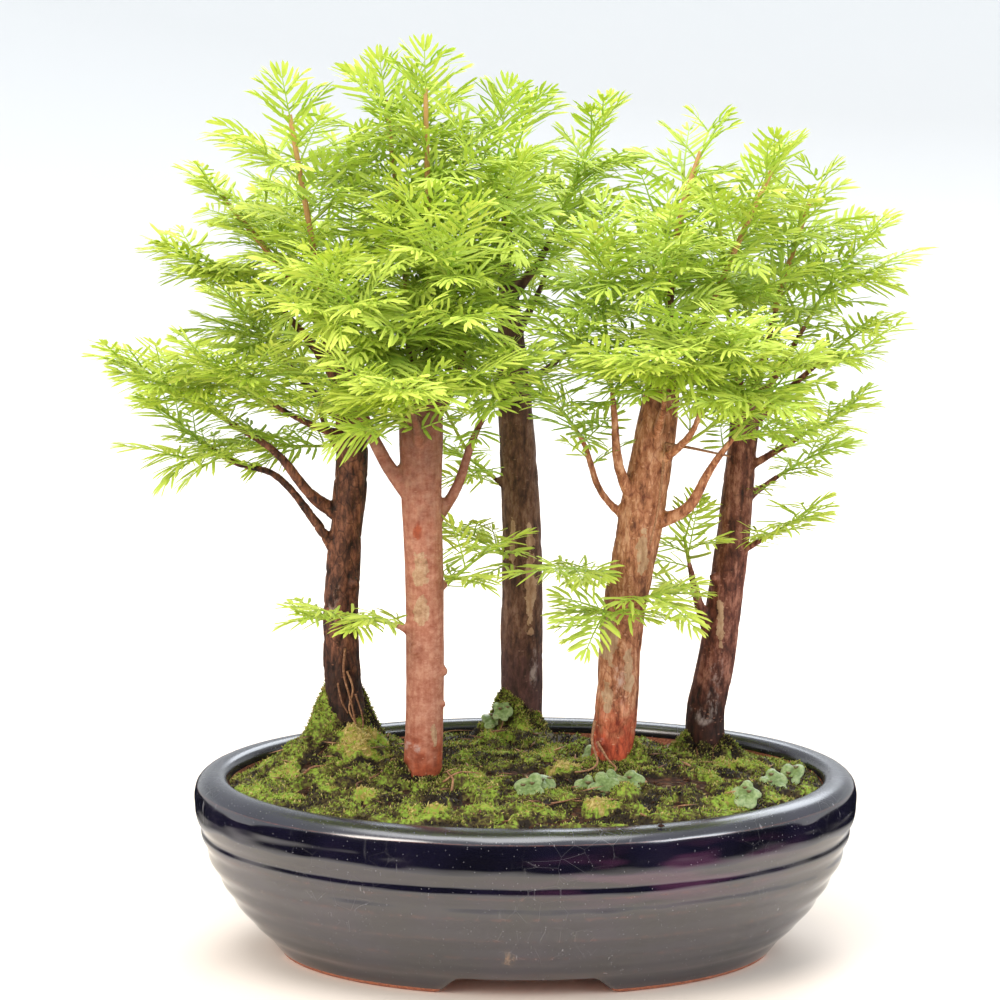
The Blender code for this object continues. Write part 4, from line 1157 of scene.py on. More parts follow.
def bark_material(tree):
    """Conifer bark: dull and fibrous, with dark cracks between plates, tan flakes and lichen."""
    dark, mid, pale, foot_dark, foot_pale, _, relief, plate = BARKS[tree]
    bark = new_material("fibrous_bark_" + tree)
    place = add_node(bark, "NewGeometry").outputs["Position"]
    marks = add_node(bark, "Attribute", attribute_name="marks")
    flake, foot, lichen = add_node(bark, "SeparateColor", {0: marks.outputs["Color"]}).outputs
    even = relief < SMOOTH_BARK
    upright = add_node(bark, "Mapping", {"Vector": place, "Scale": (1, 1, 0.14)})
    stretch = (1, 1, 1.3 if even else 0.45)
    tall = add_node(bark, "Mapping", {"Vector": place, "Scale": stretch})
    fibre = add_node(bark, "TexNoise", {"Vector": upright, "Scale": 1 / (1.3 * MM), "Detail": 2.0})
    clouds = add_node(bark, "TexNoise", {
        "Vector": tall, "Scale": 1 / (3.6 * MM), "Detail": 5.0, "Roughness": 0.74,
    })
    streaky = add_node(bark, "MixRGB", {"Fac": 0.25, "Color1": clouds, "Color2": fibre})
    body = add_node(bark, "ValToRGB", {"Fac": streaky}, (
        (0.38, dark), (0.5, mid), (0.62, pale),
    ))
    low = add_node(bark, "ValToRGB", {"Fac": streaky}, (
        (0.38, foot_dark), (0.6, foot_pale),
    ))
    footed = add_node(bark, "MixRGB", {"Fac": foot, "Color1": body, "Color2": low})
    plates = add_node(bark, "TexVoronoi", {"Vector": tall, "Scale": 1 / (plate * MM)},
                      feature="DISTANCE_TO_EDGE")
    crack = add_node(bark, "MapRange", {0: plates, 1: 0.05, 2: 0.0, 4: relief * 0.9})
    cracked = add_node(bark, "MixRGB", {
        "Fac": crack, "Color1": footed, "Color2": linear(foot_dark),
    })
    tan = add_node(bark, "ValToRGB", {"Fac": streaky}, (
        (0.36, "#8A6549"), (0.5, "#AE8A69"), (0.64, "#C4A889"),
    ))
    grain = add_node(bark, "TexNoise", {"Vector": place, "Scale": 1 / (0.8 * MM), "Detail": 2.0})
    # A flake's edge is crisp and ragged
    shift = add_node(bark, "Math", {0: grain, 1: 0.5}, operation="SUBTRACT")
    ragged = add_node(bark, "Math", {0: flake, 1: shift}, operation="ADD")
    flaking = add_node(bark, "MapRange", {0: ragged, 1: 0.42, 2: 0.56, 4: 0.9})
    flaked = add_node(bark, "MixRGB", {"Fac": flaking, "Color1": cracked, "Color2": tan})
    spotty = add_node(bark, "MapRange", {0: clouds, 1: 0.46, 2: 0.62, 4: 0.65})
    patch = add_node(bark, "Math", {0: spotty, 1: lichen}, operation="MULTIPLY")
    patched = add_node(bark, "MixRGB", {
        "Fac": patch, "Color1": flaked, "Color2": linear("#B3A29A"),
    })
    # Small pale breathing pores lie across the bark, one in each cell 4 mm wide and 2 mm high
    wide = add_node(bark, "Mapping", {"Vector": place, "Scale": (0.5, 0.5, 1)})
    pores = add_node(bark, "TexVoronoi", {"Vector": wide, "Scale": 1 / (2.2 * MM)})
    pore = add_node(bark, "MapRange", {0: pores, 1: 0.16, 2: 0.1, 4: 0.6})
    pored = add_node(bark, "MixRGB", {"Fac": pore, "Color1": patched, "Color2": linear(pale)})
    # Painted shade of the crown: the bark darkens towards the top, read from the marks' alpha
    shade = add_node(bark, "Math", {0: marks.outputs["Alpha"], 1: 0.6}, operation="MULTIPLY")
    final = add_node(bark, "MixRGB", {
        "Fac": shade, "Color1": pored, "Color2": linear(CROWN_SHADE_COLOUR),
    })
    bump = add_node(bark, "Bump", {
        "Height": streaky, "Strength": 0.8, "Distance": (0.12 + relief) * MM,
    })
    shader = add_node(bark, "BsdfPrincipled", {
        "Base Color": final, "Roughness": 0.62, "Specular IOR Level": 0.4, "Normal": bump,
    })
    add_node(bark, "OutputMaterial", {"Surface": shader})
    return bark


def bark_height(point, relief, plate):
    """How far the bark stands out at a point: ridged fibres, and plates with cracks between."""
    upright = Vector((point.x, point.y, point.z * 0.3))
    ridges = 1 - 2 * abs(noise.noise(upright / (2.3 * MM)))
    swell = noise.noise(point / (11 * MM))
    first, second = noise.voronoi(upright / (plate * MM))[0][:2]
    crack = max(0.0, 1 - (second - first) / 0.16)
    return relief * MM * (0.35 * ridges + 0.7 * swell - 0.75 * crack)


def mark_bark(tree, thing):
    """Displace the bark, and note its flakes, foot, lichen and painted crown shade at the top as a
    colour.
    """
    _, _, _, _, _, foot, relief, plate = BARKS[tree]
    mesh = thing.data
    marks = mesh.attributes.new("marks", "FLOAT_COLOR", "POINT")
    colours = []
    normals = [vertex.normal.copy() for vertex in mesh.vertices]
    for vertex, normal in zip(mesh.vertices, normals):
        point = vertex.co
        axis = trunk_point(tree, min(max(point.z / MM, TRUNKS[tree][0][2]), TRUNKS[tree][-1][2]))
        away = math.hypot(point.x - axis.x, point.y - axis.y)
        on_trunk = min(1.0, max(LIMB_RELIEF, 1.6 - away / (14 * MM)))
        ragged = noise.noise(point / (2.2 * MM)) * 0.5 + noise.noise(point / (6 * MM)) * 0.4
        values = [0.0, 0.0, 0.0]
        values[1] = min(1.0, max(0.0, (foot * MM - point.z) / FOOT_FADE + 0.3 + ragged))
        for owner, (x, z), (wide, high), kind in MARKS:
            if owner == tree and point.y < axis.y:
                far = math.hypot((point.x / MM - x) / wide, (point.z / MM - z) / high)
                values[kind] = max(values[kind], min(1.0, max(0.0, (1.1 - far + ragged) * 3)))
        # Painted shade of the crown, rising towards the top, kept in the alpha
        dark_from, dark_full = CROWN_SHADE_HEIGHTS[tree]
        rise = (point.z / MM - dark_from) / (dark_full - dark_from) + ragged * 0.5
        colours += [*values, min(1.0, max(0.0, rise))]
        lift = bark_height(point, relief, plate) * on_trunk + FLAKE_LIFT * values[0]
        vertex.co = point + normal * lift
    marks.data.foreach_set("color", colours)
    mesh.update()


def make_tree(tree, slot):
    build = Build()
    knots = smooth([Vector(knot) * MM for knot in TRUNKS[tree]], TRUNK_ROWS)
    radii = [knot.w for knot in knots]
    for step, share in enumerate(TRUNK_TOP):
        radii[-1 - step] *= share
    add_tube(build, [knot.xyz for knot in knots], radii, TRUNK_SIDES)
    for limb in LIMBS[tree]:
        wood = limb_parts(tree, limb)[0]
        points = spaced(wood, max(6, len(wood) // 3))
        start = limb[1] * MM
        radii = []
        for index in range(len(points)):
            share = index / (len(points) - 1)
            collar = COLLAR * start * math.exp(-((share * len(wood) / COLLAR_LENGTH) ** 2))
            radii.append(start + (TWIG_TIP_RADIUS - start) * share + collar)
        add_tube(build, points, radii, WOOD_SIDES)
    for owner, height, tip, radius in STUBS:
        if owner == tree:
            start = trunk_point(tree, height)
            points = spaced([start, Vector(tip) * MM], len(STUB_TAPER))
            add_tube(build, points, [radius * MM * share for share in STUB_TAPER], STUB_SIDES)
    wood = build.piece("wood_" + tree, [bark_material(tree)])
    union = wood.modifiers.new("One wood", "REMESH")
    union.mode = "VOXEL"
    union.voxel_size = WOOD_GRAIN * 1
    union.use_smooth_shade = True
    apply_modifiers(wood)
    wood.data.materials.clear()
    wood.data.materials.append(bpy.data.materials["fibrous_bark_" + tree])
    mark_bark(tree, wood)
    fit(wood, slot, "tree_" + tree)


for tree, slot in (
    ("left", "dark_bark"), ("front", "red_bark"), ("back", "dark_bark"),
    ("middle", "red_bark"), ("right", "dark_bark"),
):
    make_tree(tree, slot)


# Litter. Small things that have come to lie or grow on the moss: lobed liverworts with cups,
# bare rootlets, dry sticks, the trees' own dropped needles and one thin twig that has broken.
# Liverworts: place as (x, y) and half-width, in millimetres
LIVERWORTS = (
    (11, -43, 6.5), (17, -34, 4.5), (40, -42, 7.0), (50, -34, 6.0), (44, -30, 4.5), (93, -48, 6.0),
    (106, -20, 6.0), (114, -10, 5.0), (32, -38, 4.0), (1, 58, 4.5), (-4, 60, 4.0), (36, 12, 4.0),
)
LIVERWORT_THICK = 0.45 * MM
LIVERWORT_TILT = 0.62
LIVERWORT_SIDES = 30
# A liverwort's rows: share of its half-width, lift in millimetres, and share of its thickness
LIVERWORT_ROWS = (
    (0.06, 0.5, 1), (0.35, 0.7, 1), (0.7, 0.6, 1), (0.94, 0.2, 1), (1.0, 0.1, 0.4),
    (0.9, 0.0, 0), (0.4, 0.3, 0), (0.06, 0.3, 0),
)
# The little cups on a liverwort: height and radius in millimetres
CUP = ((0.0, 0.6), (0.7, 0.8), (1.1, 1.1))
CUP_TONE = 1.1
# Rootlets and sticks as paths in millimetres, each with its radius
TWIGS = (
    (0.55, (-61, 10, 118), (-61.5, 9, 108), (-58.5, 8.5, 96), (-56, 7.5, 84), (-52, 3, 77)),
    (0.5, (-60.3, 9.6, 109), (-58, 9, 102), (-59.5, 8.8, 94), (-57, 8, 88)),
    (0.45, (-64, 9.8, 104), (-62.5, 9.2, 97), (-60, 9, 92)),
    (0.4, (-57, 8.5, 100), (-54, 7, 90), (-54.5, 4, 80), (-50, -1, 76.5)),
    (0.6, (37, -3.4, 92), (36, -5, 84), (38, -9, 77), (35, -14, 75), (29, -18, 75)),
    (0.5, (38, -5, 84), (42, -9, 78), (45, -15, 76), (43, -22, 75.5)),
    (0.55, (63.5, -4.2, 201.5), (62.6, -4, 190), (61, -5, 176), (58, -5, 162)),
    (0.7, (63.5, -4.2, 201.5), (74, -10, 200.5), (88, -14, 198)),
)
TWIG_SIDES = 6
# Loose sticks and fallen needles: how many, and their least and greatest sizes in millimetres
LOOSE_STICKS = 26
STICK_LENGTHS = (5, 16)
STICK_RADII = (0.3, 0.6)
STICK_POINTS = 9
FALLEN_NEEDLES = 90
FALLEN_LENGTHS = (6, 12)
FALLEN_HALF_WIDTH = 0.6 * MM
FALLEN_THICKNESS = 0.35 * MM
FALLEN_LIFT = 0.8 * MM


def litter_material(name, colours, grain_size, roughness):
    """Dry or living plant matter: dull, mottled by its grain, typical IOR 1.45."""
    made = new_material(name)
    colour, grain = mottled(made, grain_size, 4.0, 0.25, colours)
    bump = add_node(made, "Bump", {"Height": grain, "Strength": 0.6, "Distance": 0.15 * MM})
    shader = add_node(made, "BsdfPrincipled", {
        "Base Color": colour, "Roughness": roughness, "IOR": 1.45, "Normal": bump,
    })
    add_node(made, "OutputMaterial", {"Surface": shader})
    return made


def ground(x, y):
    """Height of whatever is on top at a place: moss, or soil where that is bare."""
    return max(moss_level(x, y), soil_level(x, y) + soil_lumps(x, y))


def add_liverwort(build, x, y, radius, chance):
    """One liverwort: a thick, lobed, wavy pad, lifted at its edge, with two little cups."""
    lobes, turned = chance.choice((3, 4, 5)), chance.uniform(0, 6)
    beside = (-2 * MM, 0, 2 * MM)
    level = max(ground(x + dx, y + dy) for dx in beside for dy in beside)
    tilt = Vector((chance.gauss(0, 0.15), LIVERWORT_TILT + chance.gauss(0, 0.12)))
    rings, tones = [], []
    for out, lift, above in reversed(LIVERWORT_ROWS):
        for turn in turns(LIVERWORT_SIDES):
            notch = abs(math.cos(lobes * (turn + turned) / 2)) ** 0.6
            reach = radius * out * (1 - 0.42 * out * (1 - notch))
            px, py = reach * math.cos(turn), reach * math.sin(turn)
            wave = 0.5 * MM * out * math.sin(3 * turn + turned * 2)
            pz = level + lift * MM + wave + tilt.x * px + tilt.y * py + LIVERWORT_THICK * above
            rings.append((x + px, y + py, pz))
            tones.append(0.25 + 0.35 * out + 0.15 * notch)
    build.add(rings, ring_faces(len(LIVERWORT_ROWS), LIVERWORT_SIDES), tones)
    for _ in range(2):
        turn, out = chance.uniform(0, 6.28), radius * chance.uniform(0.2, 0.55)
        foot = Vector((x + out * math.cos(turn), y + out * math.sin(turn), 0))
        foot.z = level + LIVERWORT_THICK + tilt.x * (foot.x - x) + tilt.y * (foot.y - y)
        cup = [foot + Vector((0, 0, height * MM)) for height, _ in CUP]
        add_tube(build, cup, [wide * MM for _, wide in CUP], 8, CUP_TONE)


def make_litter():
    chance = random.Random(23)
    wet = litter_material("fleshy_grey_green_liverwort", (
        (0.0, "#424F2A"), (0.45, "#6C814B"), (0.8, "#96A674"), (1.0, "#75603F"),
    ), 1.2 * MM, 0.4)
    build = Build()
    for x, y, radius in LIVERWORTS:
        add_liverwort(build, x * MM, y * MM, radius * MM, chance)
    fit(build.piece("liverworts", [wet]), "moss")

    dry = litter_material("dry_brown_twig", (
        (0.0, "#3A2317"), (0.5, "#7C5238"), (1.0, "#B98B66"),
    ), 0.8 * MM, 0.7)
    build = Build()
    for radius, *way in TWIGS:
        points = smooth([Vector(point) * MM for point in way], 6 * len(way))
        radii = [radius * MM * (1 - 0.4 * i / len(points)) for i in range(len(points))]
        add_tube(build, points, radii, TWIG_SIDES, chance.uniform(0.4, 0.8))
    for _ in range(LOOSE_STICKS):
        x, y = any_place(chance, 0.9)
        heading, length = chance.uniform(0, 3.14), chance.uniform(*STICK_LENGTHS) * MM
        way = []
        for share in (0, 0.35, 0.7, 1):
            px = x + math.cos(heading) * length * (share - 0.5) + chance.gauss(0, 0.6) * MM
            py = y + math.sin(heading) * length * (share - 0.5) + chance.gauss(0, 0.6) * MM
            way.append(Vector((px, py, ground(px, py) + (0.5 + share * chance.random()) * MM)))
        radius = chance.uniform(*STICK_RADII) * MM
        radii = [radius * (1 - 0.08 * i) for i in range(STICK_POINTS)]
        tone = chance.uniform(0.1, 0.9)
        add_tube(build, smooth(way, STICK_POINTS), radii, TWIG_SIDES, tone)
    for _ in range(FALLEN_NEEDLES):
        x, y = any_place(chance, 0.95)
        heading = chance.uniform(0, 6.28)
        along = Vector((math.cos(heading), math.sin(heading), chance.gauss(0, 0.15)))
        across = Vector((-math.sin(heading), math.cos(heading), chance.gauss(0, 0.3)))
        length = chance.uniform(*FALLEN_LENGTHS) * MM
        middle = Vector((x, y, ground(x, y) + FALLEN_LIFT))
        blade = [
            middle - along * length / 2,
            middle + across * FALLEN_HALF_WIDTH,
            middle - across * FALLEN_HALF_WIDTH,
            middle + Vector((0, 0, FALLEN_THICKNESS)),
            middle + along * length / 2,
        ]
        faces = [(0, 2, 3), (0, 3, 1), (0, 1, 2), (4, 3, 2), (4, 1, 3), (4, 2, 1)]
        build.add(blade, faces, chance.uniform(0.35, 1.0))
    fit(build.piece("twigs_and_needles", [dry]), "dark_bark")


make_litter()


# Foliage. Green shoots of this spring on every twig, each with flat feathery sprays in pairs and
# soft flat needles in pairs along each spray. Young needles are thin, satin and let light through.
NEEDLE_LENGTH = 13.6 * MM
NEEDLE_WIDTH = 1.5 * MM
NEEDLE_PITCH = 2.75 * MM
NEEDLE_ANGLE = math.radians(63)
LAST_NEEDLE = 0.5
BARE_STALK = 2.0 * MM
SPRAY_DROOP = 6 * MM
END_REACH = SPRAY_LENGTH
SIDE_REACH = 26.7 * MM
SIDE_SPRAY_ANGLE = math.radians(58)
SIDE_SPRAY_SPACING = 34 * MM
EXTRA_SPACING = 6.6 * MM
WOOD_SPACING = 10 * MM
TOP_SPACE = 9 * MM
STEM_RADIUS = 0.85 * MM
STEM_TIP_RADIUS = 0.6 * MM
SPRAY_TURNS = tuple(
    (math.radians(lift), math.radians(swing), size)
    for size in (1.0, 0.86, 0.72)
    for lift in (0, 14, -14, 28, -28)
    for swing in (0, 16, -16, 30)
)
# A needle's blade: shares of its length, and of its full width there, then its point
STATIONS = ((0.0, 0.3), (0.3, 1.0), (0.82, 0.8))
BLADE_RIDGE = 0.26 * MM
# How the needles differ: the mean and spread of their rise and tilt in radians, and the least
# and most of their length, width, bend and sag as shares
NEEDLE_RISE = (0.12, 0.13)
NEEDLE_TILT = (0.3, 0.3)
NEEDLE_LENGTHS = (0.88, 1.08)
NEEDLE_WIDTHS = (0.88, 1.1)
NEEDLE_BENDS = (0.2, 0.6)
NEEDLE_SAGS = (0.1, 0.32)
RIB_RADII = (0.48 * MM, 0.4 * MM, 0.32 * MM, 0.22 * MM)
SIDE_STEM_SPACING = 19 * MM
SIDE_STEM_ANGLE = math.radians(52)
# Lengths of side stems far down a shoot and near its tip, how far down the first one starts,
# and the least length of a path that has any, in millimetres
SIDE_STEM_LONG = 40
SIDE_STEM_SHORT = 18
FIRST_SIDE_STEM = 13
LEAST_LEAFY = 42
SIDE_STEM_RADIUS = 0.7 * MM
SIDE_STEM_THINNING = 0.2 * MM
UPTURN = 0.004
# A path that rises more steeply than this has its sprays turned round it
STEEP = 0.55
CUT_LEADER = 9 * MM
LEADER_RADIUS = 1.25 * MM
LEADER_THINNING = 0.35 * MM
# A spray stands for one of the part's own when its tip is this near
MATCH = 1.2 * MM
# The finer sprays: mean and spread of their lift, swing and roll in radians, and their droop
SPRAY_LIFT = (0.22, 0.16)
SPRAY_SWING = (0, 0.16)
SPRAY_ROLL = (0, 0.3)
SPRAY_DROOPS = (5, 11)
# Shoots whose stems have already turned tan
TAN_STEMS = ("front_01", "front_02", "front_03", "middle_01", "middle_02", "right_01", "left_04")
# Heights up to which the front of each trunk is bare, in millimetres
BARE_UP_TO = {"left": 200, "front": 222, "back": 205, "middle": 224, "right": 204}
BARE_HALF_WIDTH = 8 * MM
BARK_CLEARANCE = 9.5 * MM
# A needle's tone: in the middle of the crown, then what height, reach and a low place add
MIDDLE_TONE = 0.46
HIGH_TONE = 0.20
OUTER_TONE = 0.20
LOW_TONE = 0.22
TONE_LIMITS = (0.2, 0.84)
LOW_SPRAYS = 185 * MM
# How full each tree's foliage is, as the share of its finer sprays that it keeps
FULLNESS = {"left": 1.0, "front": 1.0, "back": 0.95, "middle": 0.86, "right": 0.74}
# How far a spray may reach past the outermost needles of the part
OUTERMOST = 9 * MM
CROWN_LOW = 150 * MM
CROWN_HIGH = 340 * MM
CROWN_HALF_WIDTH = 150 * MM
CROWN_HALF_DEPTH = 105 * MM
# Fans of sprays past the end of a stem: how far on, in millimetres, and their size, then how
# far ahead and across each spray heads
END_FANS = ((5, 0.82), (11, 0.68), (17, 0.5))
FAN_AHEAD = 0.62
FAN_ACROSS = 0.78
# Foliage also covers this much of the wood below a stem, in millimetres
LEAFY_WOOD = 26
LEAFY_SIDE_WOOD = 30


def spray_matrix(base, direction, lift, swing):
    """Place a spray at its base, along a direction, its face turned up as far as it can be."""
    forward = direction.normalized()
    side = Vector((0, 0, 1)).cross(forward)
    if side.length < 0.2:
        side = Vector((0, 1, 0)).cross(forward)
    side.normalize()
    up = forward.cross(side)
    turn = Matrix((forward, side, up)).transposed()
    turn = turn @ Matrix.Rotation(swing, 3, "Z") @ Matrix.Rotation(-lift, 3, "Y")
    return Matrix.Translation(base) @ turn.to_4x4()


def sideways(along):
    """The level direction square to a path, or +X where the path is nearly upright."""
    across = along.cross(Vector((0, 0, 1)))
    return across.normalized() if across.length >= 0.35 else Vector((1, 0, 0))


def spray_places(stem, tip):
    """Base and direction of the sprays that the part has: the end one, then pairs down it."""
    places = [(stem[-3], tip - stem[-3])]
    length = len(stem) * MM
    pairs = max(1, round((length - TOP_SPACE) / SIDE_SPRAY_SPACING))
    for pair in range(pairs):
        down = TOP_SPACE + pair * SIDE_SPRAY_SPACING
        index = max(2, len(stem) - 1 - round(down / MM))
        along = (stem[index] - stem[index - 2]).normalized()
        across = sideways(along)
        if along.z > 0.7:
            across = Matrix.Rotation(math.pi / 2 * pair, 3, along) @ across
        for hand in (1, -1):
            direction = along * math.cos(SIDE_SPRAY_ANGLE)
            direction += across * hand * math.sin(SIDE_SPRAY_ANGLE)
            places.append((stem[index - hand], direction))
    return places


def match_spray(solid, base, direction, reach):
    """The turn in which the part holds this spray: the one whose tip is a corner of its mesh."""
    best = None
    for lift, swing, size in SPRAY_TURNS:
        matrix = spray_matrix(base, direction, lift, swing)
        x = reach * size
        tip = matrix @ Vector((x, 0.0, -SPRAY_DROOP * (x / SPRAY_LENGTH) ** 2))
        away = min((vertex - tip).length for vertex in solid)
        if best is None or away < best[0]:
            best = (away, matrix, x)
    return best


def blade_points(base_x, hand, heading, rise, tilt, length, width, bend, sag, droop):
    """The ten points of each needle's three-sided blade, in the spray's own frame."""
    rows = []
    for share, wide in STATIONS + ((1.0, 0.0),):
        mean = heading - bend * share / 2
        now = heading - bend * share
        centre = np.stack((
            base_x + length * share * np.cos(mean),
            hand * (0.3 * MM + length * share * np.sin(mean)),
            length * (rise * share - sag * share ** 2)
            - droop * ((base_x + length * share * np.cos(mean)) / SPRAY_LENGTH) ** 2,
        ), axis=-1)
        if wide == 0.0:
            rows.append(centre[:, None, :])
            continue
        across = np.stack((-hand * np.sin(now), np.cos(now), 0 * now), axis=-1)
        up = np.zeros_like(across)
        up[:, 2] = 1.0
        lean_across = across * np.cos(tilt)[:, None] + up * np.sin(tilt)[:, None]
        lean_up = up * np.cos(tilt)[:, None] - across * np.sin(tilt)[:, None]
        half = (width * wide / 2)[:, None]
        rows.append(np.stack((
            centre + lean_across * half,
            centre + lean_up * BLADE_RIDGE * (0.4 + 0.6 * wide),
            centre - lean_across * half,
        ), axis=1))
    return np.concatenate(rows, axis=1)


def blade_faces():
    faces = ring_faces(len(STATIONS), 3, (True, False))
    last = 3 * (len(STATIONS) - 1)
    return faces + [(last + side, last + (side + 1) % 3, last + 3) for side in range(3)]


BLADE_FACES = blade_faces()
BLADE_TONES = np.array([-0.10, -0.06, -0.10, -0.02, 0.05, -0.02, 0.03, 0.08, 0.03, 0.10])


def add_spray(build, matrix, reach, tone, dice, droop=SPRAY_DROOP):
    """One flat spray: a thin rib with needles in pairs, longest a third of the way along."""
    needle = NEEDLE_LENGTH * min(1.0, 0.4 + 0.6 * reach / SIDE_REACH)
    last = reach - LAST_NEEDLE * needle
    pairs = max(3, round((last - BARE_STALK) / NEEDLE_PITCH))
    along = np.arange(pairs) / (pairs - 1)
    x = BARE_STALK + (last - BARE_STALK) * along
    base_x = np.concatenate((x, x + 0.7 * MM, [last, last]))
    along = np.concatenate((along, along, [1.0, 1.0]))
    hand = np.concatenate((np.ones(pairs), -np.ones(pairs), [1.0, -1.0]))
    count = len(base_x)
    taper = np.where(along < 0.35, 0.25 * (1 - along / 0.35) ** 2, 0.5 * (along / 0.65 - 0.54) ** 2)
    length = needle * (1 - taper) * dice.uniform(*NEEDLE_LENGTHS, count)
    heading = NEEDLE_ANGLE - 0.45 * along ** 2 + dice.normal(0, 0.08, count)
    heading[-2:] = (0.30, 0.24)
    length[-2:] = LAST_NEEDLE * needle
    points = blade_points(
        base_x, hand, heading,
        dice.normal(*NEEDLE_RISE, count), hand * dice.normal(*NEEDLE_TILT, count),
        length, NEEDLE_WIDTH * dice.uniform(*NEEDLE_WIDTHS, count),
        dice.uniform(*NEEDLE_BENDS, count), dice.uniform(*NEEDLE_SAGS, count), droop,
    ).reshape(-1, 3)
    turn = np.array(matrix.to_3x3())
    points = points @ turn.T + np.array(matrix.translation)
    per = 3 * len(STATIONS) + 1
    faces = [tuple(corner + per * needle for corner in face)
             for needle in range(count) for face in BLADE_FACES]
    needle_tones = tone + 0.10 * along + dice.normal(0, 0.04, count)
    tones = (needle_tones[:, None] + BLADE_TONES[None, :]).reshape(-1)
    build.add(points, faces, tones)
    rib = [
        matrix @ Vector((place, 0.0, -droop * (place / SPRAY_LENGTH) ** 2))
        for place in (0.0, last * 0.35, last * 0.7, last + 0.6 * MM)
    ]
    add_tube(build, rib, RIB_RADII, 4, 0.2, 1)


def needle_material():
    """Fresh needles: thin and soft, satin above, with light shining through them as lime."""
    leaf = new_material("fresh_satin_needles")
    colour, _ = mottled(leaf, 6 * MM, 0.0, 0.06, (
        (0.0, "#70A94C"), (0.3, "#A6CE5C"), (0.55, "#C8DF62"), (0.8, "#D5E564"), (1.0, "#E0EA70"),
    ))
    shader = add_node(leaf, "BsdfPrincipled", {
        "Base Color": colour, "Roughness": 0.5, "Specular IOR Level": 0.3,
    })
    through = add_node(leaf, "BsdfTranslucent", {"Color": colour})
    mixed = add_node(leaf, "MixShader", {0: 0.29, 1: shader, 2: through})
    add_node(leaf, "OutputMaterial", {"Surface": mixed})
    return leaf


def stem_material():
    """Soft green stems, dull, that turn tan and woody from the foot up, finely mottled."""
    stem = new_material("soft_green_stem")
    colour, _ = mottled(stem, 0.8 * MM, 3.0, 0.12, (
        (0.0, "#9BC43A"), (0.35, "#A9B646"), (0.6, "#C49A5C"), (1.0, "#B87850"),
    ))
    shader = add_node(stem, "BsdfPrincipled", {"Base Color": colour, "Roughness": 0.55})
    add_node(stem, "OutputMaterial", {"Surface": shader})
    return stem


def seen(point):
    """Where a point is seen from the front, as a place in the upright plane through the middle."""
    size = -CAMERA_PLACE.y / (point.y - CAMERA_PLACE.y)
    return point.x * size, CAMERA_PLACE.z + (point.z - CAMERA_PLACE.z) * size


def near_trunk(point):
    """Whether a point is inside a trunk, just beside one, or before its bare part."""
    across, high = seen(point)
    for tree, knots in TRUNKS.items():
        if point.z / MM < knots[-1][2]:
            axis = trunk_point(tree, max(point.z / MM, knots[0][2]))
            if math.hypot(point.x - axis.x, point.y - axis.y) < BARK_CLEARANCE:
                return True
        top = seen(trunk_point(tree, BARE_UP_TO[tree]))[1]
        if point.y < knots[0][1] * MM and high < top + 2 * MM:
            middle = seen(trunk_point(tree, max(high / MM, knots[0][2])))[0]
            if abs(across - middle) < BARE_HALF_WIDTH:
                return True
    return False


def too_far_out(point):
    """Whether a point is well outside the part's own crown."""
    return any(
        place < low - OUTERMOST or place > high + OUTERMOST
        for place, low, high in zip(point, *cad_box)
    )


def side_stems(wood, stem, chance):
    """Side stems of a full shoot: short paths that leave its path on all sides and turn up."""
    path = wood[-LEAFY_SIDE_WOOD:] + stem[1:]
    if len(path) < LEAST_LEAFY:
        return []
    paths = []
    down, rank = FIRST_SIDE_STEM, chance.random() * 3
    while down < len(path) - 4:
        index = len(path) - 1 - down
        along = (path[index + 1] - path[index - 2]).normalized()
        turn = 2.4 * rank if along.z > STEEP else math.pi * round(rank) + chance.gauss(0, 0.25)
        across = Matrix.Rotation(turn, 3, along) @ sideways(along)
        length = SIDE_STEM_SHORT + (SIDE_STEM_LONG - SIDE_STEM_SHORT) * min(1.0, down / 70)
        length = round(length * chance.uniform(0.75, 1.15))
        heading = along * math.cos(SIDE_STEM_ANGLE) + across * math.sin(SIDE_STEM_ANGLE)
        points = [path[index].copy()]
        for _ in range(length):
            heading = (heading + Vector((0, 0, UPTURN))).normalized()
            points.append(points[-1] + heading * MM)
        if not near_trunk(points[-1]):
            paths.append(points)
        down += round(SIDE_STEM_SPACING / MM)
        rank += 1
    return paths


def extra_places(wood, stem, chance):
    """Base, direction and reach of the sprays that fill a shoot out between the part's own."""
    places = []
    down, rank = 4 * MM, 0
    path = wood[-LEAFY_WOOD:] + stem[bool(wood):]
    turn = chance.uniform(0, 3)
    while down < len(path) * MM - 4 * MM:
        on_wood = down > len(stem) * MM
        index = len(path) - 1 - round(down / MM)
        if index < 2:
            break
        along = (path[index] - path[index - 2]).normalized()
        across = sideways(along)
        steep = along.z > STEEP
        if steep:
            across = Matrix.Rotation(turn + 2.0 * rank, 3, along) @ across
        for hand in (1, -1):
            angle = SIDE_SPRAY_ANGLE + chance.gauss(0, 0.14)
            direction = along * math.cos(angle) + across * hand * math.sin(angle)
            if steep:
                direction.z *= 0.5
            size = chance.uniform(0.6, 0.9) if on_wood else chance.uniform(0.95, 1.3)
            size *= min(1.0, 0.72 + 0.28 * down / (16 * MM))
            places.append((path[index - hand], direction, SIDE_REACH * size))
        down += WOOD_SPACING if on_wood else EXTRA_SPACING
        rank += 1
    return places


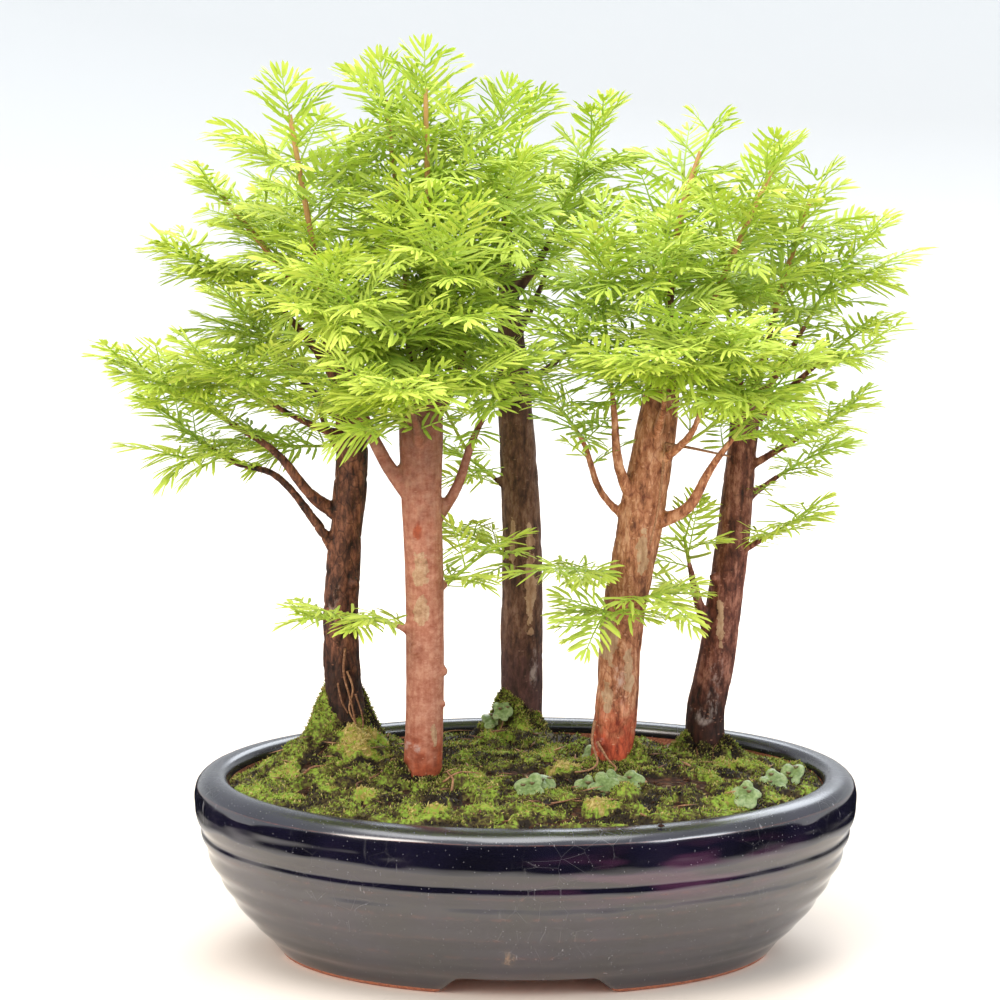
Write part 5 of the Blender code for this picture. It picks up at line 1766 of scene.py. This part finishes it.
def make_shoot(tree, number, limb, leaf, green):
    name = f"{tree}_{number:02d}"
    solid = [vertex.co.copy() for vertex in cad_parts["shoot_" + name].data.vertices]
    chance = random.Random(name)
    dice = np.random.default_rng(sum(ord(letter) * 7 ** place for place, letter in enumerate(name)))
    wood, stem, tip = limb_parts(tree, limb)
    build = Build()

    def tone_at(point):
        rise = (point.z - CROWN_LOW) / (CROWN_HIGH - CROWN_LOW)
        out = math.hypot((point.x - TRAY_X) / CROWN_HALF_WIDTH, point.y / CROWN_HALF_DEPTH)
        value = MIDDLE_TONE + HIGH_TONE * rise + OUTER_TONE * out ** 2
        value += LOW_TONE if point.z < LOW_SPRAYS else 0.0
        least, most = TONE_LIMITS
        return min(most, max(least, value + chance.gauss(0, 0.08)))

    for rank, (base, direction) in enumerate(spray_places(stem, tip)):
        reach = SIDE_REACH if rank else END_REACH
        away, matrix, reach = match_spray(solid, base, direction, reach)
        if away < MATCH:
            add_spray(build, matrix, reach, tone_at(matrix @ Vector((reach, 0, 0))), dice)
    places = extra_places(wood, stem, chance)
    ahead = (tip - stem[-1]).normalized()
    across = sideways(ahead)
    for further, size in END_FANS:
        for hand in (1, -1):
            direction = ahead * FAN_AHEAD + across * hand * FAN_ACROSS
            places.append((stem[-1] + ahead * further * MM, direction, SIDE_REACH * size))
    for path in side_stems(wood, stem, chance):
        places += extra_places([], path, chance)
        places.append((path[-2], path[-1] - path[-4], SIDE_REACH * chance.uniform(0.9, 1.1)))
        points = spaced(path, max(3, len(path) // 5))
        radii = [
            SIDE_STEM_RADIUS - SIDE_STEM_THINNING * i / len(points) for i in range(len(points))
        ]
        add_tube(build, points, radii, 5, 0.3, 1)
    for base, direction, reach in places:
        lift = chance.gauss(*SPRAY_LIFT)
        matrix = spray_matrix(base, direction, lift, chance.gauss(*SPRAY_SWING))
        matrix = matrix @ Matrix.Rotation(chance.gauss(*SPRAY_ROLL), 4, "X")
        end = matrix @ Vector((reach, 0, 0))
        half = matrix @ Vector((reach * 0.6, 0, 0))
        if chance.random() > FULLNESS[tree] or too_far_out(end):
            continue
        if near_trunk(end) or near_trunk(half):
            continue
        droop = chance.uniform(*SPRAY_DROOPS) * MM
        add_spray(build, matrix, reach, tone_at(end), dice, droop)
    count = max(4, len(stem) // 3)
    shares = [index / (count - 1) for index in range(count)]
    radii = [STEM_RADIUS + (STEM_TIP_RADIUS - STEM_RADIUS) * share for share in shares]
    tones = [0.35 * (1 - 0.8 * share) for share in shares]
    path = spaced(stem, count)
    if name in TAN_STEMS:
        # A leader that was cut: its tan stem stands up past its side shoots
        path = spaced(stem + [stem[-1] + ahead * CUT_LEADER], count)
        radii = [LEADER_RADIUS - LEADER_THINNING * share for share in shares]
        tones = [0.95 - 0.25 * share for share in shares]
    add_tube(build, path, radii, 8, tones, 1)
    shoot = build.piece("leafy_" + name, [leaf, green], smooth=False)
    fit(shoot, "needles", "shoot_" + name)


def make_foliage():
    leaf, green = needle_material(), stem_material()
    for tree, limbs in LIMBS.items():
        for number, limb in enumerate(limbs, 1):
            make_shoot(tree, number, limb, leaf, green)


make_foliage()


# The corners of a box, as lists.
def corners(box):
    return [list(corner) for corner in box]
